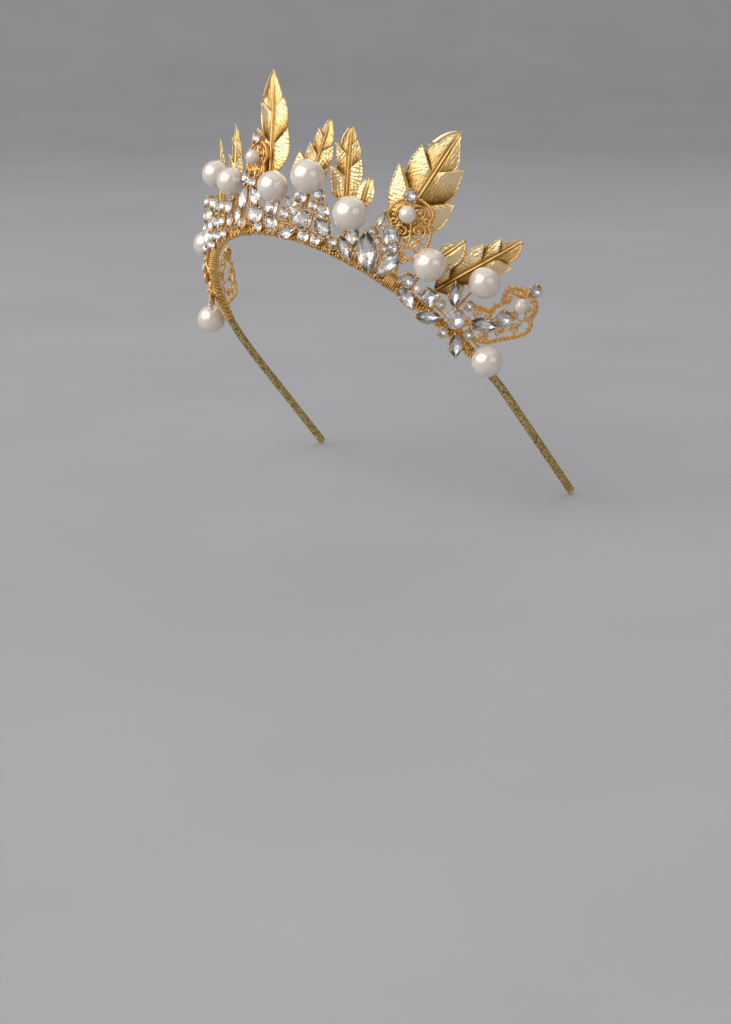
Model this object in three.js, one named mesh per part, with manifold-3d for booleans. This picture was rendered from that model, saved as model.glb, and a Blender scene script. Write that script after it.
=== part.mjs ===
// Bridal tiara: a thread-wrapped headband that carries claw-set crystals, pearls on wire
// stems, filigree scrolls and stamped metal leaves.
// Millimetres, +Z up as worn. The wearer faces -Y and the wearer's left is +X.
// The origin is the centre of the band's arch, inside the wearer's head.
import * as THREE from "three";
import { mergeVertices } from "three/addons/utils/BufferGeometryUtils.js";
import Module from "manifold-3d";

const wasm = await Module();
wasm.setup();

// ---- Headband ----
const ARCH_HALF_WIDTH = 65;
const ARCH_RISE = 82;
const ARM_LENGTH = 54;
const BAND_TILT = THREE.MathUtils.degToRad(47);
const BAND_WIDTH = 3;
const BAND_THICKNESS = 2;
const WRAP_WALL = 0.35;
const CORE_GAP = 0.1;
const BAND_STEP = 5.5;
const FRAME_STEP = 5;

// ---- Ornament sheet: it rises from the band and leans outwards ----
const LEAN = THREE.MathUtils.degToRad(30);
// Distances in front of the sheet, from the leaves at the back to the stones in front.
const LEAF_LAYER = -0.7;
const STEM_LAYER = 1.2;
const SCROLL_LAYER = 1.2;
const FRAME_LAYER = 2.15;
const STONE_LAYER = 3.3;
const BACKBONE_HEIGHT = 3.2;

// ---- Wires, plates and stones ----
const FRAME_WIRE = 0.34;
const STEM_WIRE = 0.42;
const SCROLL_WIRE = 0.4;
const CLAW_WIRE = 0.28;
const LASHING_WIRE = 0.22;
const LEAF_THICKNESS = 0.5;
const PAVILION_DEPTH = 0.75;
const CROWN_HEIGHT = 0.85;
const SEAT_GAP = 0.08;
const SIMPLIFY = 0.05;
const SEAT_PLATE = 0.5;
const PEARL_BORE = 0.75;
const PEARL_SETBACK = 0.2;
const PEARL_OVER_BAND = 2.7;
const SEED_LAYER = 4.15;

const GOLD = { color: 0xd9a441, roughness: 0.3, metalness: 1 };
const ANTIQUE_GOLD = { color: 0xb98532, roughness: 0.38, metalness: 1 };
const THREAD = { color: 0x9a7a2c, roughness: 0.55, metalness: 0.7 };
const STEEL = { color: 0x8d8f92, roughness: 0.4, metalness: 1 };
const PEARL = { color: 0xf2e6da, roughness: 0.22, metalness: 0 };
const CRYSTAL = { color: 0xe9f1f4, roughness: 0.05, metalness: 0 };

// ---- Solids ----
function solidOf(geometry) {
  const bare = new THREE.BufferGeometry();
  const flat = geometry.index ? geometry.toNonIndexed() : geometry;
  bare.setAttribute("position", flat.getAttribute("position"));
  const merged = mergeVertices(bare, 1e-4);
  return new wasm.Manifold(
    new wasm.Mesh({
      numProp: 3,
      vertProperties: merged.attributes.position.array,
      triVerts: new Uint32Array(merged.index.array),
    }),
  );
}

function geometryOf(solid) {
  const mesh = solid.getMesh();
  const geometry = new THREE.BufferGeometry();
  geometry.setAttribute("position", new THREE.BufferAttribute(mesh.vertProperties, 3));
  geometry.setIndex(new THREE.BufferAttribute(mesh.triVerts, 1));
  return geometry;
}

// One body out of pieces that cross each other.
const joined = (geometries) =>
  geometryOf(
    geometries
      .map(solidOf)
      .reduce((all, next) => all.add(next))
      .simplify(SIMPLIFY),
  );

// A closed skin over matching rings, each ring turning anticlockwise about the way it travels.
function loft(rings, looped = false) {
  const count = rings[0].length;
  const corner = (ring, i) => rings[ring % rings.length][i % count];
  const corners = [];
  const spans = looped ? rings.length : rings.length - 1;
  for (let ring = 0; ring < spans; ring++) {
    for (let i = 0; i < count; i++) {
      corners.push(corner(ring, i), corner(ring, i + 1), corner(ring + 1, i + 1));
      corners.push(corner(ring, i), corner(ring + 1, i + 1), corner(ring + 1, i));
    }
  }
  if (!looped) {
    for (let i = 1; i < count - 1; i++) {
      corners.push(corner(0, 0), corner(0, i + 1), corner(0, i));
      corners.push(corner(spans, 0), corner(spans, i), corner(spans, i + 1));
    }
  }
  return new THREE.BufferGeometry().setFromPoints(corners);
}

// A round wire through the points. Its section is steadied by the direction `up`.
function wire(points, radius, { sides = 4, up = new THREE.Vector3(0, 0, 1), looped = false } = {}) {
  const count = points.length;
  const near = (i) => points[looped ? (i + count) % count : Math.min(Math.max(i, 0), count - 1)];
  const rings = points.map((point, i) => {
    const along = near(i + 1).clone().sub(near(i - 1)).normalize();
    const normal = up.clone().addScaledVector(along, -up.dot(along)).normalize();
    const side = along.clone().cross(normal);
    return Array.from({ length: sides }, (_, k) => {
      const angle = (2 * Math.PI * k) / sides;
      return point
        .clone()
        .addScaledVector(normal, radius * Math.cos(angle))
        .addScaledVector(side, radius * Math.sin(angle));
    });
  });
  return loft(rings, looped);
}

// ---- Path of the band ----
const ACROSS = new THREE.Vector3(1, 0, 0);
const FORWARD = new THREE.Vector3(0, -Math.cos(BAND_TILT), Math.sin(BAND_TILT));
const NORMAL = new THREE.Vector3(0, Math.sin(BAND_TILT), Math.cos(BAND_TILT));

const ARC_SAMPLES = 600;
const arcLengths = [0];
for (let i = 1; i <= ARC_SAMPLES; i++) {
  const middle = ((i - 0.5) / ARC_SAMPLES) * (Math.PI / 2);
  const speed = Math.hypot(ARCH_HALF_WIDTH * Math.cos(middle), ARCH_RISE * Math.sin(middle));
  arcLengths.push(arcLengths[i - 1] + (speed * Math.PI) / 2 / ARC_SAMPLES);
}
const QUARTER = arcLengths[ARC_SAMPLES];
const BAND_END = QUARTER + ARM_LENGTH;

function arcAngle(run) {
  const next = arcLengths.findIndex((length) => length >= run);
  if (next <= 0) return 0;
  const share = (run - arcLengths[next - 1]) / (arcLengths[next] - arcLengths[next - 1]);
  return ((next - 1 + share) / ARC_SAMPLES) * (Math.PI / 2);
}

// Point, direction and outward direction of the band, s along it from the middle of the arch.
function station(s) {
  const side = s < 0 ? -1 : 1;
  const run = Math.min(Math.abs(s), QUARTER - 1e-9);
  const past = Math.max(Math.abs(s) - QUARTER, 0);
  const angle = arcAngle(run);
  const point = ACROSS.clone().multiplyScalar(side * ARCH_HALF_WIDTH * Math.sin(angle));
  point.addScaledVector(FORWARD, ARCH_RISE * Math.cos(angle) - past);
  const along = ACROSS.clone().multiplyScalar(ARCH_HALF_WIDTH * Math.cos(angle));
  along.addScaledVector(FORWARD, -side * ARCH_RISE * Math.sin(angle)).normalize();
  const out = along.clone().cross(NORMAL);
  return { point, along, out };
}

// Place on the sheet: s along the band, h up the sheet, q in front of it, turned towards +s.
function seat(s, h, q, turn = 0) {
  const { point, along, out } = station(s);
  const rise = NORMAL.clone().multiplyScalar(Math.cos(LEAN)).addScaledVector(out, Math.sin(LEAN));
  const face = out.clone().multiplyScalar(Math.cos(LEAN)).addScaledVector(NORMAL, -Math.sin(LEAN));
  point.addScaledVector(rise, h).addScaledVector(face, q);
  return new THREE.Matrix4()
    .makeBasis(along, rise, face)
    .setPosition(point)
    .multiply(new THREE.Matrix4().makeRotationZ(-THREE.MathUtils.degToRad(turn)));
}

const spot = (s, h, q) => new THREE.Vector3().setFromMatrixPosition(seat(s, h, q));
const faceAt = (s) => new THREE.Vector3().setFromMatrixColumn(seat(s, 0, 0), 2);

// ---- Headband solids ----
function bandStations() {
  const bends = 2 * Math.round(QUARTER / BAND_STEP) + 1;
  const stations = Array.from(
    { length: bends },
    (_, i) => ((i + 0.5) / bends) * 2 * QUARTER - QUARTER,
  );
  return [-BAND_END, -QUARTER, ...stations, QUARTER, BAND_END];
}

const bar = (x, y) => [[x, y], [-x, y], [-x, -y], [x, -y]];
const chamferedBar = (x, y, cut) => [
  [x - cut, y], [-x + cut, y], [-x, y - cut], [-x, -y + cut],
  [-x + cut, -y], [x - cut, -y], [x, -y + cut], [x, y - cut],
];

// Rings of the band's section, its corners given across the band and through its thickness.
function bandRings(section) {
  return bandStations().map((s) => {
    const { point, out } = station(s);
    return section.map(([across, thick]) =>
      point.clone().addScaledVector(NORMAL, across).addScaledVector(out, thick),
    );
  });
}

const halfWidth = BAND_WIDTH / 2;
const halfThickness = BAND_THICKNESS / 2;
const boreHalfWidth = halfWidth - WRAP_WALL;
const boreHalfThickness = halfThickness - WRAP_WALL;
const core = loft(bandRings(bar(boreHalfWidth - CORE_GAP, boreHalfThickness - CORE_GAP)));

// The sleeve is open at both ends: its outer skin turns into its bore there.
function sleeve() {
  const outer = bandRings(chamferedBar(halfWidth, halfThickness, 0.35));
  const bore = bandRings(chamferedBar(boreHalfWidth, boreHalfThickness, 0.05));
  return loft([...outer, ...bore.reverse()], true);
}

// ---- Stones and their claw seats ----
const round = (size, sides = 8) =>
  Array.from({ length: sides }, (_, i) => {
    const angle = (2 * Math.PI * (i + 0.5)) / sides;
    return [(size / 2) * Math.cos(angle), (size / 2) * Math.sin(angle)];
  });

function pointed(width, length) {
  const heights = [0.5, 0.34, 0.12, -0.12, -0.34];
  const left = heights.map((y) => [-0.5 * width * (1 - 4 * y * y), y * length]);
  return [...left, ...left.map(([x, y]) => [-x, -y])];
}

function pear(width, length) {
  const belly = Array.from({ length: 7 }, (_, i) => {
    const angle = Math.PI + (Math.PI * i) / 6;
    return [(width / 2) * Math.cos(angle), (width / 2) * Math.sin(angle) - (length - width) / 2];
  });
  return [[0, length / 2], ...belly];
}

function square(width, length, corner = 0.16) {
  const [x, y] = [width / 2, length / 2];
  const cut = corner * width;
  return [
    [x, -y + cut], [x, y - cut], [x - cut, y], [-x + cut, y],
    [-x, y - cut], [-x, -y + cut], [-x + cut, -y], [x - cut, -y],
  ];
}

const ringAt = (outline, scale, z) =>
  outline.map(([x, y]) => new THREE.Vector3(x * scale, y * scale, z));

const cutStone = (outline, depth = PAVILION_DEPTH) =>
  loft([
    ringAt(outline, 0.4, -depth),
    ringAt(outline, 1, 0),
    ringAt(outline, 1, 0.15),
    ringAt(outline, 0.6, CROWN_HEIGHT),
  ]);

const PLATE_TOP = -PAVILION_DEPTH - SEAT_GAP;
const grown = (outline, margin) =>
  outline.map(([x, y]) => {
    const share = 1 + margin / Math.hypot(x, y);
    return [x * share, y * share];
  });
const seatPlate = (outline, margin) => {
  const rim = grown(outline, margin);
  return loft([ringAt(rim, 0.8, PLATE_TOP - SEAT_PLATE), ringAt(rim, 1, PLATE_TOP)]);
};

// Claws stand on the rim of the plate, pass the girdle and end just above it.
function claws(outline, picks) {
  const feet = grown(outline, CLAW_WIRE + 1.5 * SEAT_GAP);
  return picks.map((pick) => {
    const [x, y] = feet[pick];
    const post = round(2 * CLAW_WIRE, 4);
    const low = ringAt(post, 1, PLATE_TOP - SEAT_PLATE / 2);
    const high = ringAt(post, 0.8, CROWN_HEIGHT * 0.6);
    return loft([low, high]).translate(x, y, 0);
  });
}

const CUTS = {
  round: { outline: (size) => round(size), claws: [0, 2, 4, 6] },
  pointed: { outline: pointed, claws: [0, 5] },
  pear: { outline: pear, claws: [0, 2, 6] },
  square: { outline: square, claws: [0, 2, 4, 6] },
};

// ---- Pearls ----
// A pearl stands in front of the leaves, and one over the band stands in front of the band.
const pearlLayer = (size, overBand) => size / 2 + (overBand ? PEARL_OVER_BAND : -PEARL_SETBACK);

// A drilled pearl: the bore runs along its own Y axis.
function pearl(size, bore = PEARL_BORE, sides = 12, steps = 7) {
  const radius = size / 2;
  const start = Math.asin(bore / radius);
  const rings = Array.from({ length: sides }, (_, k) => {
    const turn = (2 * Math.PI * k) / sides;
    return Array.from({ length: steps + 1 }, (_, i) => {
      const angle = start + ((Math.PI - 2 * start) * i) / steps;
      const reach = radius * Math.sin(angle);
      return new THREE.Vector3(
        reach * Math.cos(turn),
        -radius * Math.cos(angle),
        reach * Math.sin(turn),
      );
    });
  });
  return loft(rings, true);
}

const STEM_SLOPE = Math.PI / 4;
const drilled = (size, overBand) => pearl(size).rotateX(overBand ? Math.PI / 2 : STEM_SLOPE);

// A stem climbs behind the stones and turns forward into the pearl's bore. Over the band it
// goes straight forward.
function pearlStem({ s, h, size, overBand }, foot) {
  const q = pearlLayer(size, overBand);
  const path = overBand
    ? [spot(foot, BACKBONE_HEIGHT, FRAME_LAYER), spot(s, h, FRAME_LAYER), spot(s, h, q)]
    : [
        spot(s, BACKBONE_HEIGHT, FRAME_LAYER),
        spot(s, BACKBONE_HEIGHT + 1.6, STEM_LAYER),
        spot(s, h - (q - STEM_LAYER), STEM_LAYER),
        spot(s, h, q),
      ];
  return wire(path, STEM_WIRE, { sides: 5, up: station(s).along });
}

// ---- Leaves ----
// A toothed leaf with its stalk: the blade folds back from the midrib and bends forward.
function leaf(length, width, teeth, stalk, bend = 0) {
  const rows = [[-stalk, 0.55], [0, 0.55]];
  for (let tooth = 0; tooth < teeth; tooth++) {
    const tip = (tooth + 0.72) / (teeth + 0.6);
    const notch = (tooth + 1) / (teeth + 0.6);
    const swell = (u) => Math.sin(Math.PI * Math.pow(u, 0.72)) * (width / 2);
    rows.push([tip * length, Math.max(swell(tip), 0.8)]);
    rows.push([notch * length, Math.max(0.6 * swell(notch), 0.6)]);
  }
  rows.push([length, 0.15]);
  const shares = [-1, -0.5, 0, 0.5, 1];
  const point = ([y, half], share, skin) => {
    const ahead = Math.abs(share) * half * 0.35;
    const fold = -0.22 * Math.abs(share) * half;
    const lift = y > 0 ? bend * Math.pow(y / length, 2) : 0;
    return new THREE.Vector3(share * half, y + ahead, fold + lift + skin);
  };
  const rings = rows.map((row) => [
    ...shares.map((share) => point(row, share, LEAF_THICKNESS / 2)),
    ...[...shares].reverse().map((share) => point(row, share, -LEAF_THICKNESS / 2)),
  ]);
  return loft(rings);
}

// Stands a leaf on its base with its tip at a second place on the sheet.
function leafBetween([s, h], [tipS, tipH], build, q = LEAF_LAYER) {
  const base = spot(s, h, q);
  const tip = spot(tipS, tipH, q);
  const up = tip.clone().sub(base).normalize();
  const face = faceAt(s).addScaledVector(up, -faceAt(s).dot(up)).normalize();
  const across = up.clone().cross(face);
  const frame = new THREE.Matrix4().makeBasis(across, up, face).setPosition(base);
  return build(tip.distanceTo(base)).applyMatrix4(frame);
}

// ---- Filigree ----
const flat = (x, y) => new THREE.Vector3(x, y, 0);

function spiral(centreX, centreY, outer, inner, turns, start, hand = 1, steps = 14) {
  return Array.from({ length: steps + 1 }, (_, i) => {
    const share = i / steps;
    const radius = outer + (inner - outer) * share;
    const angle = start + hand * share * turns * 2 * Math.PI;
    return flat(centreX + radius * Math.cos(angle), centreY + radius * Math.sin(angle));
  });
}

function teardrop(width, length, steps = 14) {
  return Array.from({ length: steps }, (_, i) => {
    const angle = (2 * Math.PI * i) / steps;
    const taper = 0.5 * (1 - Math.cos(angle));
    return flat((width / 2) * Math.sin(angle) * (0.35 + 0.65 * taper), -length * taper);
  });
}

const FLAT_UP = { up: new THREE.Vector3(0, 0, 1) };
const FLAT_LOOP = { up: new THREE.Vector3(0, 0, 1), looped: true };

// Two scrolls either side of a stalk, rolled inwards at the top, with a stud cup above them.
function scrollMotif(width, height, stalk) {
  const curl = width * 0.23;
  const parts = [
    wire([flat(0, -stalk), flat(0, height * 0.5), flat(0, height)], SCROLL_WIRE, FLAT_UP),
    loft([ringAt(round(2.2), 1, -0.3), ringAt(round(2.6), 1, 0.4)]).translate(0, height + 0.8, 0),
  ];
  for (const hand of [-1, 1]) {
    const top = spiral(hand * curl, height * 0.62, curl, curl * 0.3, 1.2, hand > 0 ? Math.PI : 0, -hand);
    const low = spiral(hand * curl * 1.1, height * 0.18, curl * 0.95, curl * 0.3, 1.1, hand > 0 ? Math.PI : 0, hand);
    parts.push(wire(top, SCROLL_WIRE * 0.9, FLAT_UP));
    parts.push(wire(low, SCROLL_WIRE * 0.9, FLAT_UP));
  }
  return joined(parts);
}

// A long rope-edged loop around a smaller loop, with a stalk and a stud cup.
function loopMotif(width, length, stalk) {
  const outer = teardrop(width, length);
  const inner = teardrop(width * 0.55, length * 0.62).map((p) => p.add(flat(0, -0.2)));
  const parts = [
    wire(outer, SCROLL_WIRE * 1.2, FLAT_LOOP),
    wire(inner, SCROLL_WIRE * 0.9, FLAT_LOOP),
    wire([flat(0, -length), flat(0, -length - stalk)], SCROLL_WIRE, FLAT_UP),
    wire([flat(0, -0.3), flat(0, 2)], SCROLL_WIRE, FLAT_UP),
    loft([ringAt(round(2.4), 1, -0.3), ringAt(round(2.8), 1, 0.4)]).translate(0, 2.4, 0),
  ];
  return joined(parts);
}

// ---- Lashings: a few turns of fine wire around the band and the frame wire on it ----
const LASHING_PATH = [
  [-2.3, -0.2], [-1.1, 2.35], [1.2, 2.95], [3.9, 2.75], [3.9, 1.4], [2.3, -0.6], [0.9, -2.2], [-0.9, -1.8],
];
const LASHING_TURNS = 4;
const LASHING_PITCH = 0.75;

function lashing(s) {
  const count = LASHING_PATH.length;
  const points = Array.from({ length: LASHING_TURNS * count }, (_, i) => {
    const [h, q] = LASHING_PATH[i % count];
    return spot(s + (i / count - LASHING_TURNS / 2) * LASHING_PITCH, h, q);
  });
  return wire(points, LASHING_WIRE, { up: station(s).along });
}

// ---- Layout along the band: [s, h] in millimetres, turns in degrees towards +s ----
const PEARLS = {
  pearl_far_upper: { s: -30, h: 24, size: 10, frame: "far" },
  pearl_far_front: { s: -18, h: 17.5, size: 10, frame: "far_front" },
  pearl_centre: { s: 3, h: 14.5, size: 11, frame: "centre" },
  pearl_front_high: { s: 14, h: 20.5, size: 12, frame: "front" },
  pearl_front_low: { s: 30, h: 14, size: 12, frame: "temple" },
  pearl_temple: { s: 57.8, h: 13.4, size: 11.5, frame: "trio" },
  pearl_side_upper: { s: 74, h: 20.4, size: 11, frame: "flower" },
  pearl_side_end: { s: 92, h: 2, size: 11, frame: "flower", overBand: true },
  pearl_far_side: { s: -70, h: 19.5, size: 10, frame: "far_flower" },
  pearl_far_end: { s: -92, h: 2, size: 11, frame: "far_flower", overBand: true },
};

const LEAVES = {
  leaf_centre: { base: [-4, 14], tip: [-6.5, 56.4], width: 17, teeth: 3, bend: 3.5, stalk: 11 },
  leaf_front_small: { base: [12, 14], tip: [13, 42], width: 15, teeth: 3, bend: 0, stalk: 11 },
  leaf_front: { base: [27, 13], tip: [19.5, 42], width: 12, teeth: 3, bend: 0, stalk: 10 },
  leaf_gap: { base: [31.5, 14], tip: [30, 28], width: 6, teeth: 1, bend: 0, stalk: 10 },
  leaf_temple_large: { base: [44, 14], tip: [45, 56], width: 24, teeth: 3, bend: 0, stalk: 11 },
  leaf_temple_small: { base: [58, 12], tip: [62.5, 27], width: 8, teeth: 1, bend: 0, stalk: 9 },
  leaf_side: { base: [67, 13], tip: [75.5, 39.5], width: 13, teeth: 3, bend: 0, stalk: 10 },
  leaf_far_front: { base: [-25, 13], tip: [-21, 40], width: 12, teeth: 3, bend: 2.5, stalk: 10 },
  leaf_far_temple: { base: [-41, 13], tip: [-37, 42], width: 13, teeth: 3, bend: 0, stalk: 10 },
  leaf_far_side: { base: [-60, 12], tip: [-68, 34], width: 12, teeth: 3, bend: 0, stalk: 9 },
};

// A frame is the soldered wire and claw seats behind one group of stones. A stone with a name
// is its own piece; the small ones are soldered seats filled flush.
const FRAMES = {
  far: {
    span: [-52, -28],
    stones: [
      { name: "crystal_far_round", cut: "round", size: [6], s: -36, h: 7 },
      { cut: "round", size: [4.5], s: -30, h: 6 },
      { cut: "pointed", size: [4.5, 9], s: -43, h: 5.5, turn: 20 },
      { cut: "round", size: [4], s: -49, h: 4 },
      { cut: "round", size: [4.5], s: -36, h: 14 },
    ],
  },
  far_front: {
    span: [-25, -12],
    stones: [
      { cut: "round", size: [5.5], s: -20, h: 5 },
      { cut: "round", size: [4], s: -24, h: 10.5 },
      { cut: "round", size: [4.5], s: -13, h: 8 },
    ],
  },
  centre: {
    span: [-9, 6],
    stones: [
      { name: "crystal_centre_round", cut: "round", size: [7], s: -4, h: 4.5 },
      { cut: "square", size: [4.6, 4.6], s: 3, h: 5.5 },
      { cut: "round", size: [3.2], s: -5.5, h: 10.5 },
      { cut: "round", size: [3.2], s: 4.5, h: 0.8 },
    ],
  },
  front: {
    span: [9, 25],
    stones: [
      { name: "crystal_front_round", cut: "round", size: [6.6], s: 15.5, h: 6 },
      { name: "crystal_front_pear", cut: "pear", size: [4.6, 7], s: 10, h: 9.4, turn: -52 },
      { cut: "pointed", size: [4.8, 9.5], s: 22.5, h: 5.5, turn: 24 },
      { cut: "round", size: [3.8], s: 11, h: 1 },
      { cut: "round", size: [3.8], s: 17.5, h: 0.6 },
      { cut: "round", size: [3.4], s: 20, h: 12 },
    ],
  },
  temple: {
    span: [28, 48],
    stones: [
      { name: "crystal_temple_navette_large", cut: "pointed", size: [7, 14.5], s: 39.7, h: 5, turn: 146 },
      { name: "crystal_temple_pear", cut: "pear", size: [6.4, 11], s: 47, h: 4.6, turn: 197 },
      { name: "crystal_temple_square", cut: "square", size: [5, 6], s: 43.3, h: 14.2 },
      { name: "crystal_temple_navette", cut: "pointed", size: [4.6, 9], s: 32.5, h: 2.6, turn: -52 },
      { cut: "round", size: [2.8], s: 38, h: 12.8 },
    ],
  },
  trio: {
    span: [54, 64],
    stones: [
      { cut: "round", size: [4.6], s: 54.6, h: 3.9 },
      { cut: "square", size: [4.4, 4.8], s: 59.2, h: -0.6, turn: -35 },
      { name: "crystal_trio_square", cut: "square", size: [5, 5], s: 64.2, h: 4.4, turn: -5 },
    ],
  },
  flower: {
    span: [70, 90],
    stones: [
      { name: "crystal_flower_centre", cut: "round", size: [6], s: 75.5, h: 4.5 },
      { name: "crystal_petal_front", cut: "pointed", size: [4.4, 8.6], s: 68, h: -1, turn: 55 },
      { name: "crystal_petal_back", cut: "pointed", size: [4.8, 9.6], s: 83.8, h: 9.8, turn: 59 },
      { name: "crystal_petal_upper", cut: "pointed", size: [4, 8.4], s: 70, h: 10.7, turn: 141 },
      { name: "crystal_petal_lower", cut: "pointed", size: [4.4, 7.8], s: 82, h: -2, turn: 132 },
      { name: "crystal_side_round", cut: "round", size: [6], s: 87.4, h: 16 },
      { cut: "round", size: [3], s: 82.6, h: 4 },
      { cut: "round", size: [3], s: 75.6, h: -1.4 },
    ],
  },
  far_flower: {
    span: [-90, -60],
    stones: [
      { cut: "round", size: [6], s: -76, h: 5 },
      { cut: "pointed", size: [4.4, 9], s: -68, h: 5, turn: 90 },
      { cut: "pointed", size: [4.4, 9], s: -84, h: 5, turn: 90 },
      { cut: "round", size: [4.4], s: -61, h: 6 },
    ],
  },
};

const SCROLLS = {
  filigree_centre: { motif: () => scrollMotif(9, 11, 15), s: -9.5, h: 19, turn: 0 },
  filigree_temple: { motif: () => scrollMotif(11, 11.5, 12), s: 50, h: 17, turn: -18 },
  filigree_side: { motif: () => loopMotif(13, 21, 1.5), s: 86.5, h: 27.5, turn: -22 },
  filigree_far_side: { motif: () => loopMotif(13, 21, 1.5), s: -84, h: 27.5, turn: 22 },
};

const SMALL_PEARLS = {
  pearl_small_centre: { s: -8.5, h: 25, size: 5 },
  pearl_small_temple: { s: 44.5, h: 23, size: 6 },
  pearl_small_side: { s: 87.7, h: 23.4, size: 5.2 },
  pearl_small_far_side: { s: -85.5, h: 23.4, size: 5.2 },
  pearl_seed: { s: 59.6, h: 4.2, size: 2.9, layer: SEED_LAYER },
};

const LASHINGS = { lashing_far: -55.5, lashing_centre: -10.5, lashing_front: 7.5, lashing_temple: 50.6 };

// ---- Assembly ----
const tiara = new THREE.Group();
tiara.name = "bridal_tiara";

function add(name, geometry, look) {
  const mesh = new THREE.Mesh(geometry, new THREE.MeshStandardMaterial(look));
  mesh.name = name;
  tiara.add(mesh);
}

function frameParts(key, { span, stones }) {
  const [from, to] = span;
  const steps = Math.ceil((to - from) / FRAME_STEP);
  const backbone = Array.from({ length: steps + 1 }, (_, i) =>
    spot(from + ((to - from) * i) / steps, BACKBONE_HEIGHT, FRAME_LAYER),
  );
  const parts = [wire(backbone, FRAME_WIRE, { up: NORMAL })];
  for (const { name, cut, size, s, h, turn = 0 } of stones) {
    const outline = CUTS[cut].outline(...size);
    const place = seat(s, h, STONE_LAYER, turn);
    parts.push(seatPlate(outline, name ? CLAW_WIRE : -SEAT_PLATE).applyMatrix4(place));
    const foot = Math.min(Math.max(s, from), to);
    const spur = [spot(foot, BACKBONE_HEIGHT, FRAME_LAYER), spot(s, h + 0.01, FRAME_LAYER)];
    if (spur[0].distanceTo(spur[1]) > 1) parts.push(wire(spur, FRAME_WIRE, { up: faceAt(s) }));
    if (name) {
      add(name, cutStone(outline).applyMatrix4(place), CRYSTAL);
      claws(outline, CUTS[cut].claws).forEach((claw) => parts.push(claw.applyMatrix4(place)));
    } else {
      parts.push(cutStone(outline, PAVILION_DEPTH + 2 * SEAT_GAP).applyMatrix4(place));
    }
  }
  for (const held of Object.values(PEARLS).filter(({ frame }) => frame === key)) {
    parts.push(pearlStem(held, Math.min(Math.max(held.s, from), to)));
  }
  return parts;
}

add("band_core", core, STEEL);
add("band_wrap", sleeve(), THREAD);
for (const [name, s] of Object.entries(LASHINGS)) add(name, lashing(s), GOLD);
for (const [key, frame] of Object.entries(FRAMES)) add(`setting_${key}`, joined(frameParts(key, frame)), GOLD);
for (const [name, { s, h, size, overBand }] of Object.entries(PEARLS)) {
  const place = seat(s, h, pearlLayer(size, overBand));
  add(name, drilled(size, overBand).applyMatrix4(place), PEARL);
}
for (const [name, { s, h, size, layer = SCROLL_LAYER + 0.6 + size / 2 }] of Object.entries(SMALL_PEARLS)) {
  add(name, pearl(size, size * 0.08, 9, 5).rotateX(Math.PI / 2).applyMatrix4(seat(s, h, layer)), PEARL);
}
for (const [name, { base, tip, width, teeth, bend, stalk }] of Object.entries(LEAVES)) {
  const build = (length) => leaf(length, width, teeth, stalk, bend);
  add(name, leafBetween(base, tip, build), ANTIQUE_GOLD);
}
for (const [name, { motif, s, h, turn }] of Object.entries(SCROLLS)) {
  add(name, motif().applyMatrix4(seat(s, h, SCROLL_LAYER, turn)), GOLD);
}

export default tiara;
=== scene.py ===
"""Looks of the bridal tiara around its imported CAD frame.

Lengths in the code are millimetres, and MM turns them into the row frame's metres. Ornaments stand on a
sheet that rises from the band: s runs along the band from the middle of the arch, h up the sheet, and q
in front of it.
"""

import math
import string

import bmesh
import bpy
import numpy as np
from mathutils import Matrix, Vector


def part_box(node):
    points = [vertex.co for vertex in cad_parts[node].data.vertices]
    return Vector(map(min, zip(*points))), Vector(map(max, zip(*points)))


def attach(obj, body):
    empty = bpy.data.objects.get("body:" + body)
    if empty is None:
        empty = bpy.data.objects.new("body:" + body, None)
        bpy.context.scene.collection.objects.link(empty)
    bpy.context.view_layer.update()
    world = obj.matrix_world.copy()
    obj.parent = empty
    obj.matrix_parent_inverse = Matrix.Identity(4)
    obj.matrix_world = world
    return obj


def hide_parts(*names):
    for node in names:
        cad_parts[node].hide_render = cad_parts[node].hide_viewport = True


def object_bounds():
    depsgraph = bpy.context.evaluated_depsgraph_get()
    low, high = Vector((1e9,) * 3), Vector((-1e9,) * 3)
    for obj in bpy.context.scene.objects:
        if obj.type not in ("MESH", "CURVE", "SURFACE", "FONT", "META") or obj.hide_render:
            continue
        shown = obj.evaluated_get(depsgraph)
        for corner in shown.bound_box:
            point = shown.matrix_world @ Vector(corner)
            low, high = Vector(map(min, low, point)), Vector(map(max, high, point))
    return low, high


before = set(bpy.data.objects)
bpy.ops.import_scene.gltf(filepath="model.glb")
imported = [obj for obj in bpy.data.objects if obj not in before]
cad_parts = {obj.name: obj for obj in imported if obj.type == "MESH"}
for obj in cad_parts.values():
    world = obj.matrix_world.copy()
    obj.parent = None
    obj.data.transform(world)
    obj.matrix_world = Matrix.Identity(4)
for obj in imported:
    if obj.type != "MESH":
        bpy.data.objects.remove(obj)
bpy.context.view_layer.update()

MM = 0.001
BODY = "root"
LEAN = math.radians(30)
# How far in front of the sheet the wires, the twisted frames and the stones lie.
WIRE_LAYER, FRAME_LAYER, STONE_LAYER = 1.4, 2.15, 3.3
draw = np.random.default_rng(7)


# ---- The band's path, read from the CAD frame ----
def cad_points(node):
    return np.array([v.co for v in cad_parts[node].data.vertices]) / MM


core = cad_points("band_core")
spread = np.linalg.svd(core[:, 1:] - core[:, 1:].mean(0), full_matrices=False)[2][0]
spread = spread if spread[1] > 0 else -spread
ACROSS = np.array([1.0, 0.0, 0.0])
FORWARD = np.array([0.0, spread[0], spread[1]])
NORMAL = np.cross(ACROSS, FORWARD) * -1
reach = core @ FORWARD
ARM_LENGTH = -reach.min()
HALF_WIDTH = np.abs(core[reach < reach.min() + 0.01, 0]).mean()
RISE = reach[np.abs(core[:, 0]) < 0.05].mean()

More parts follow.
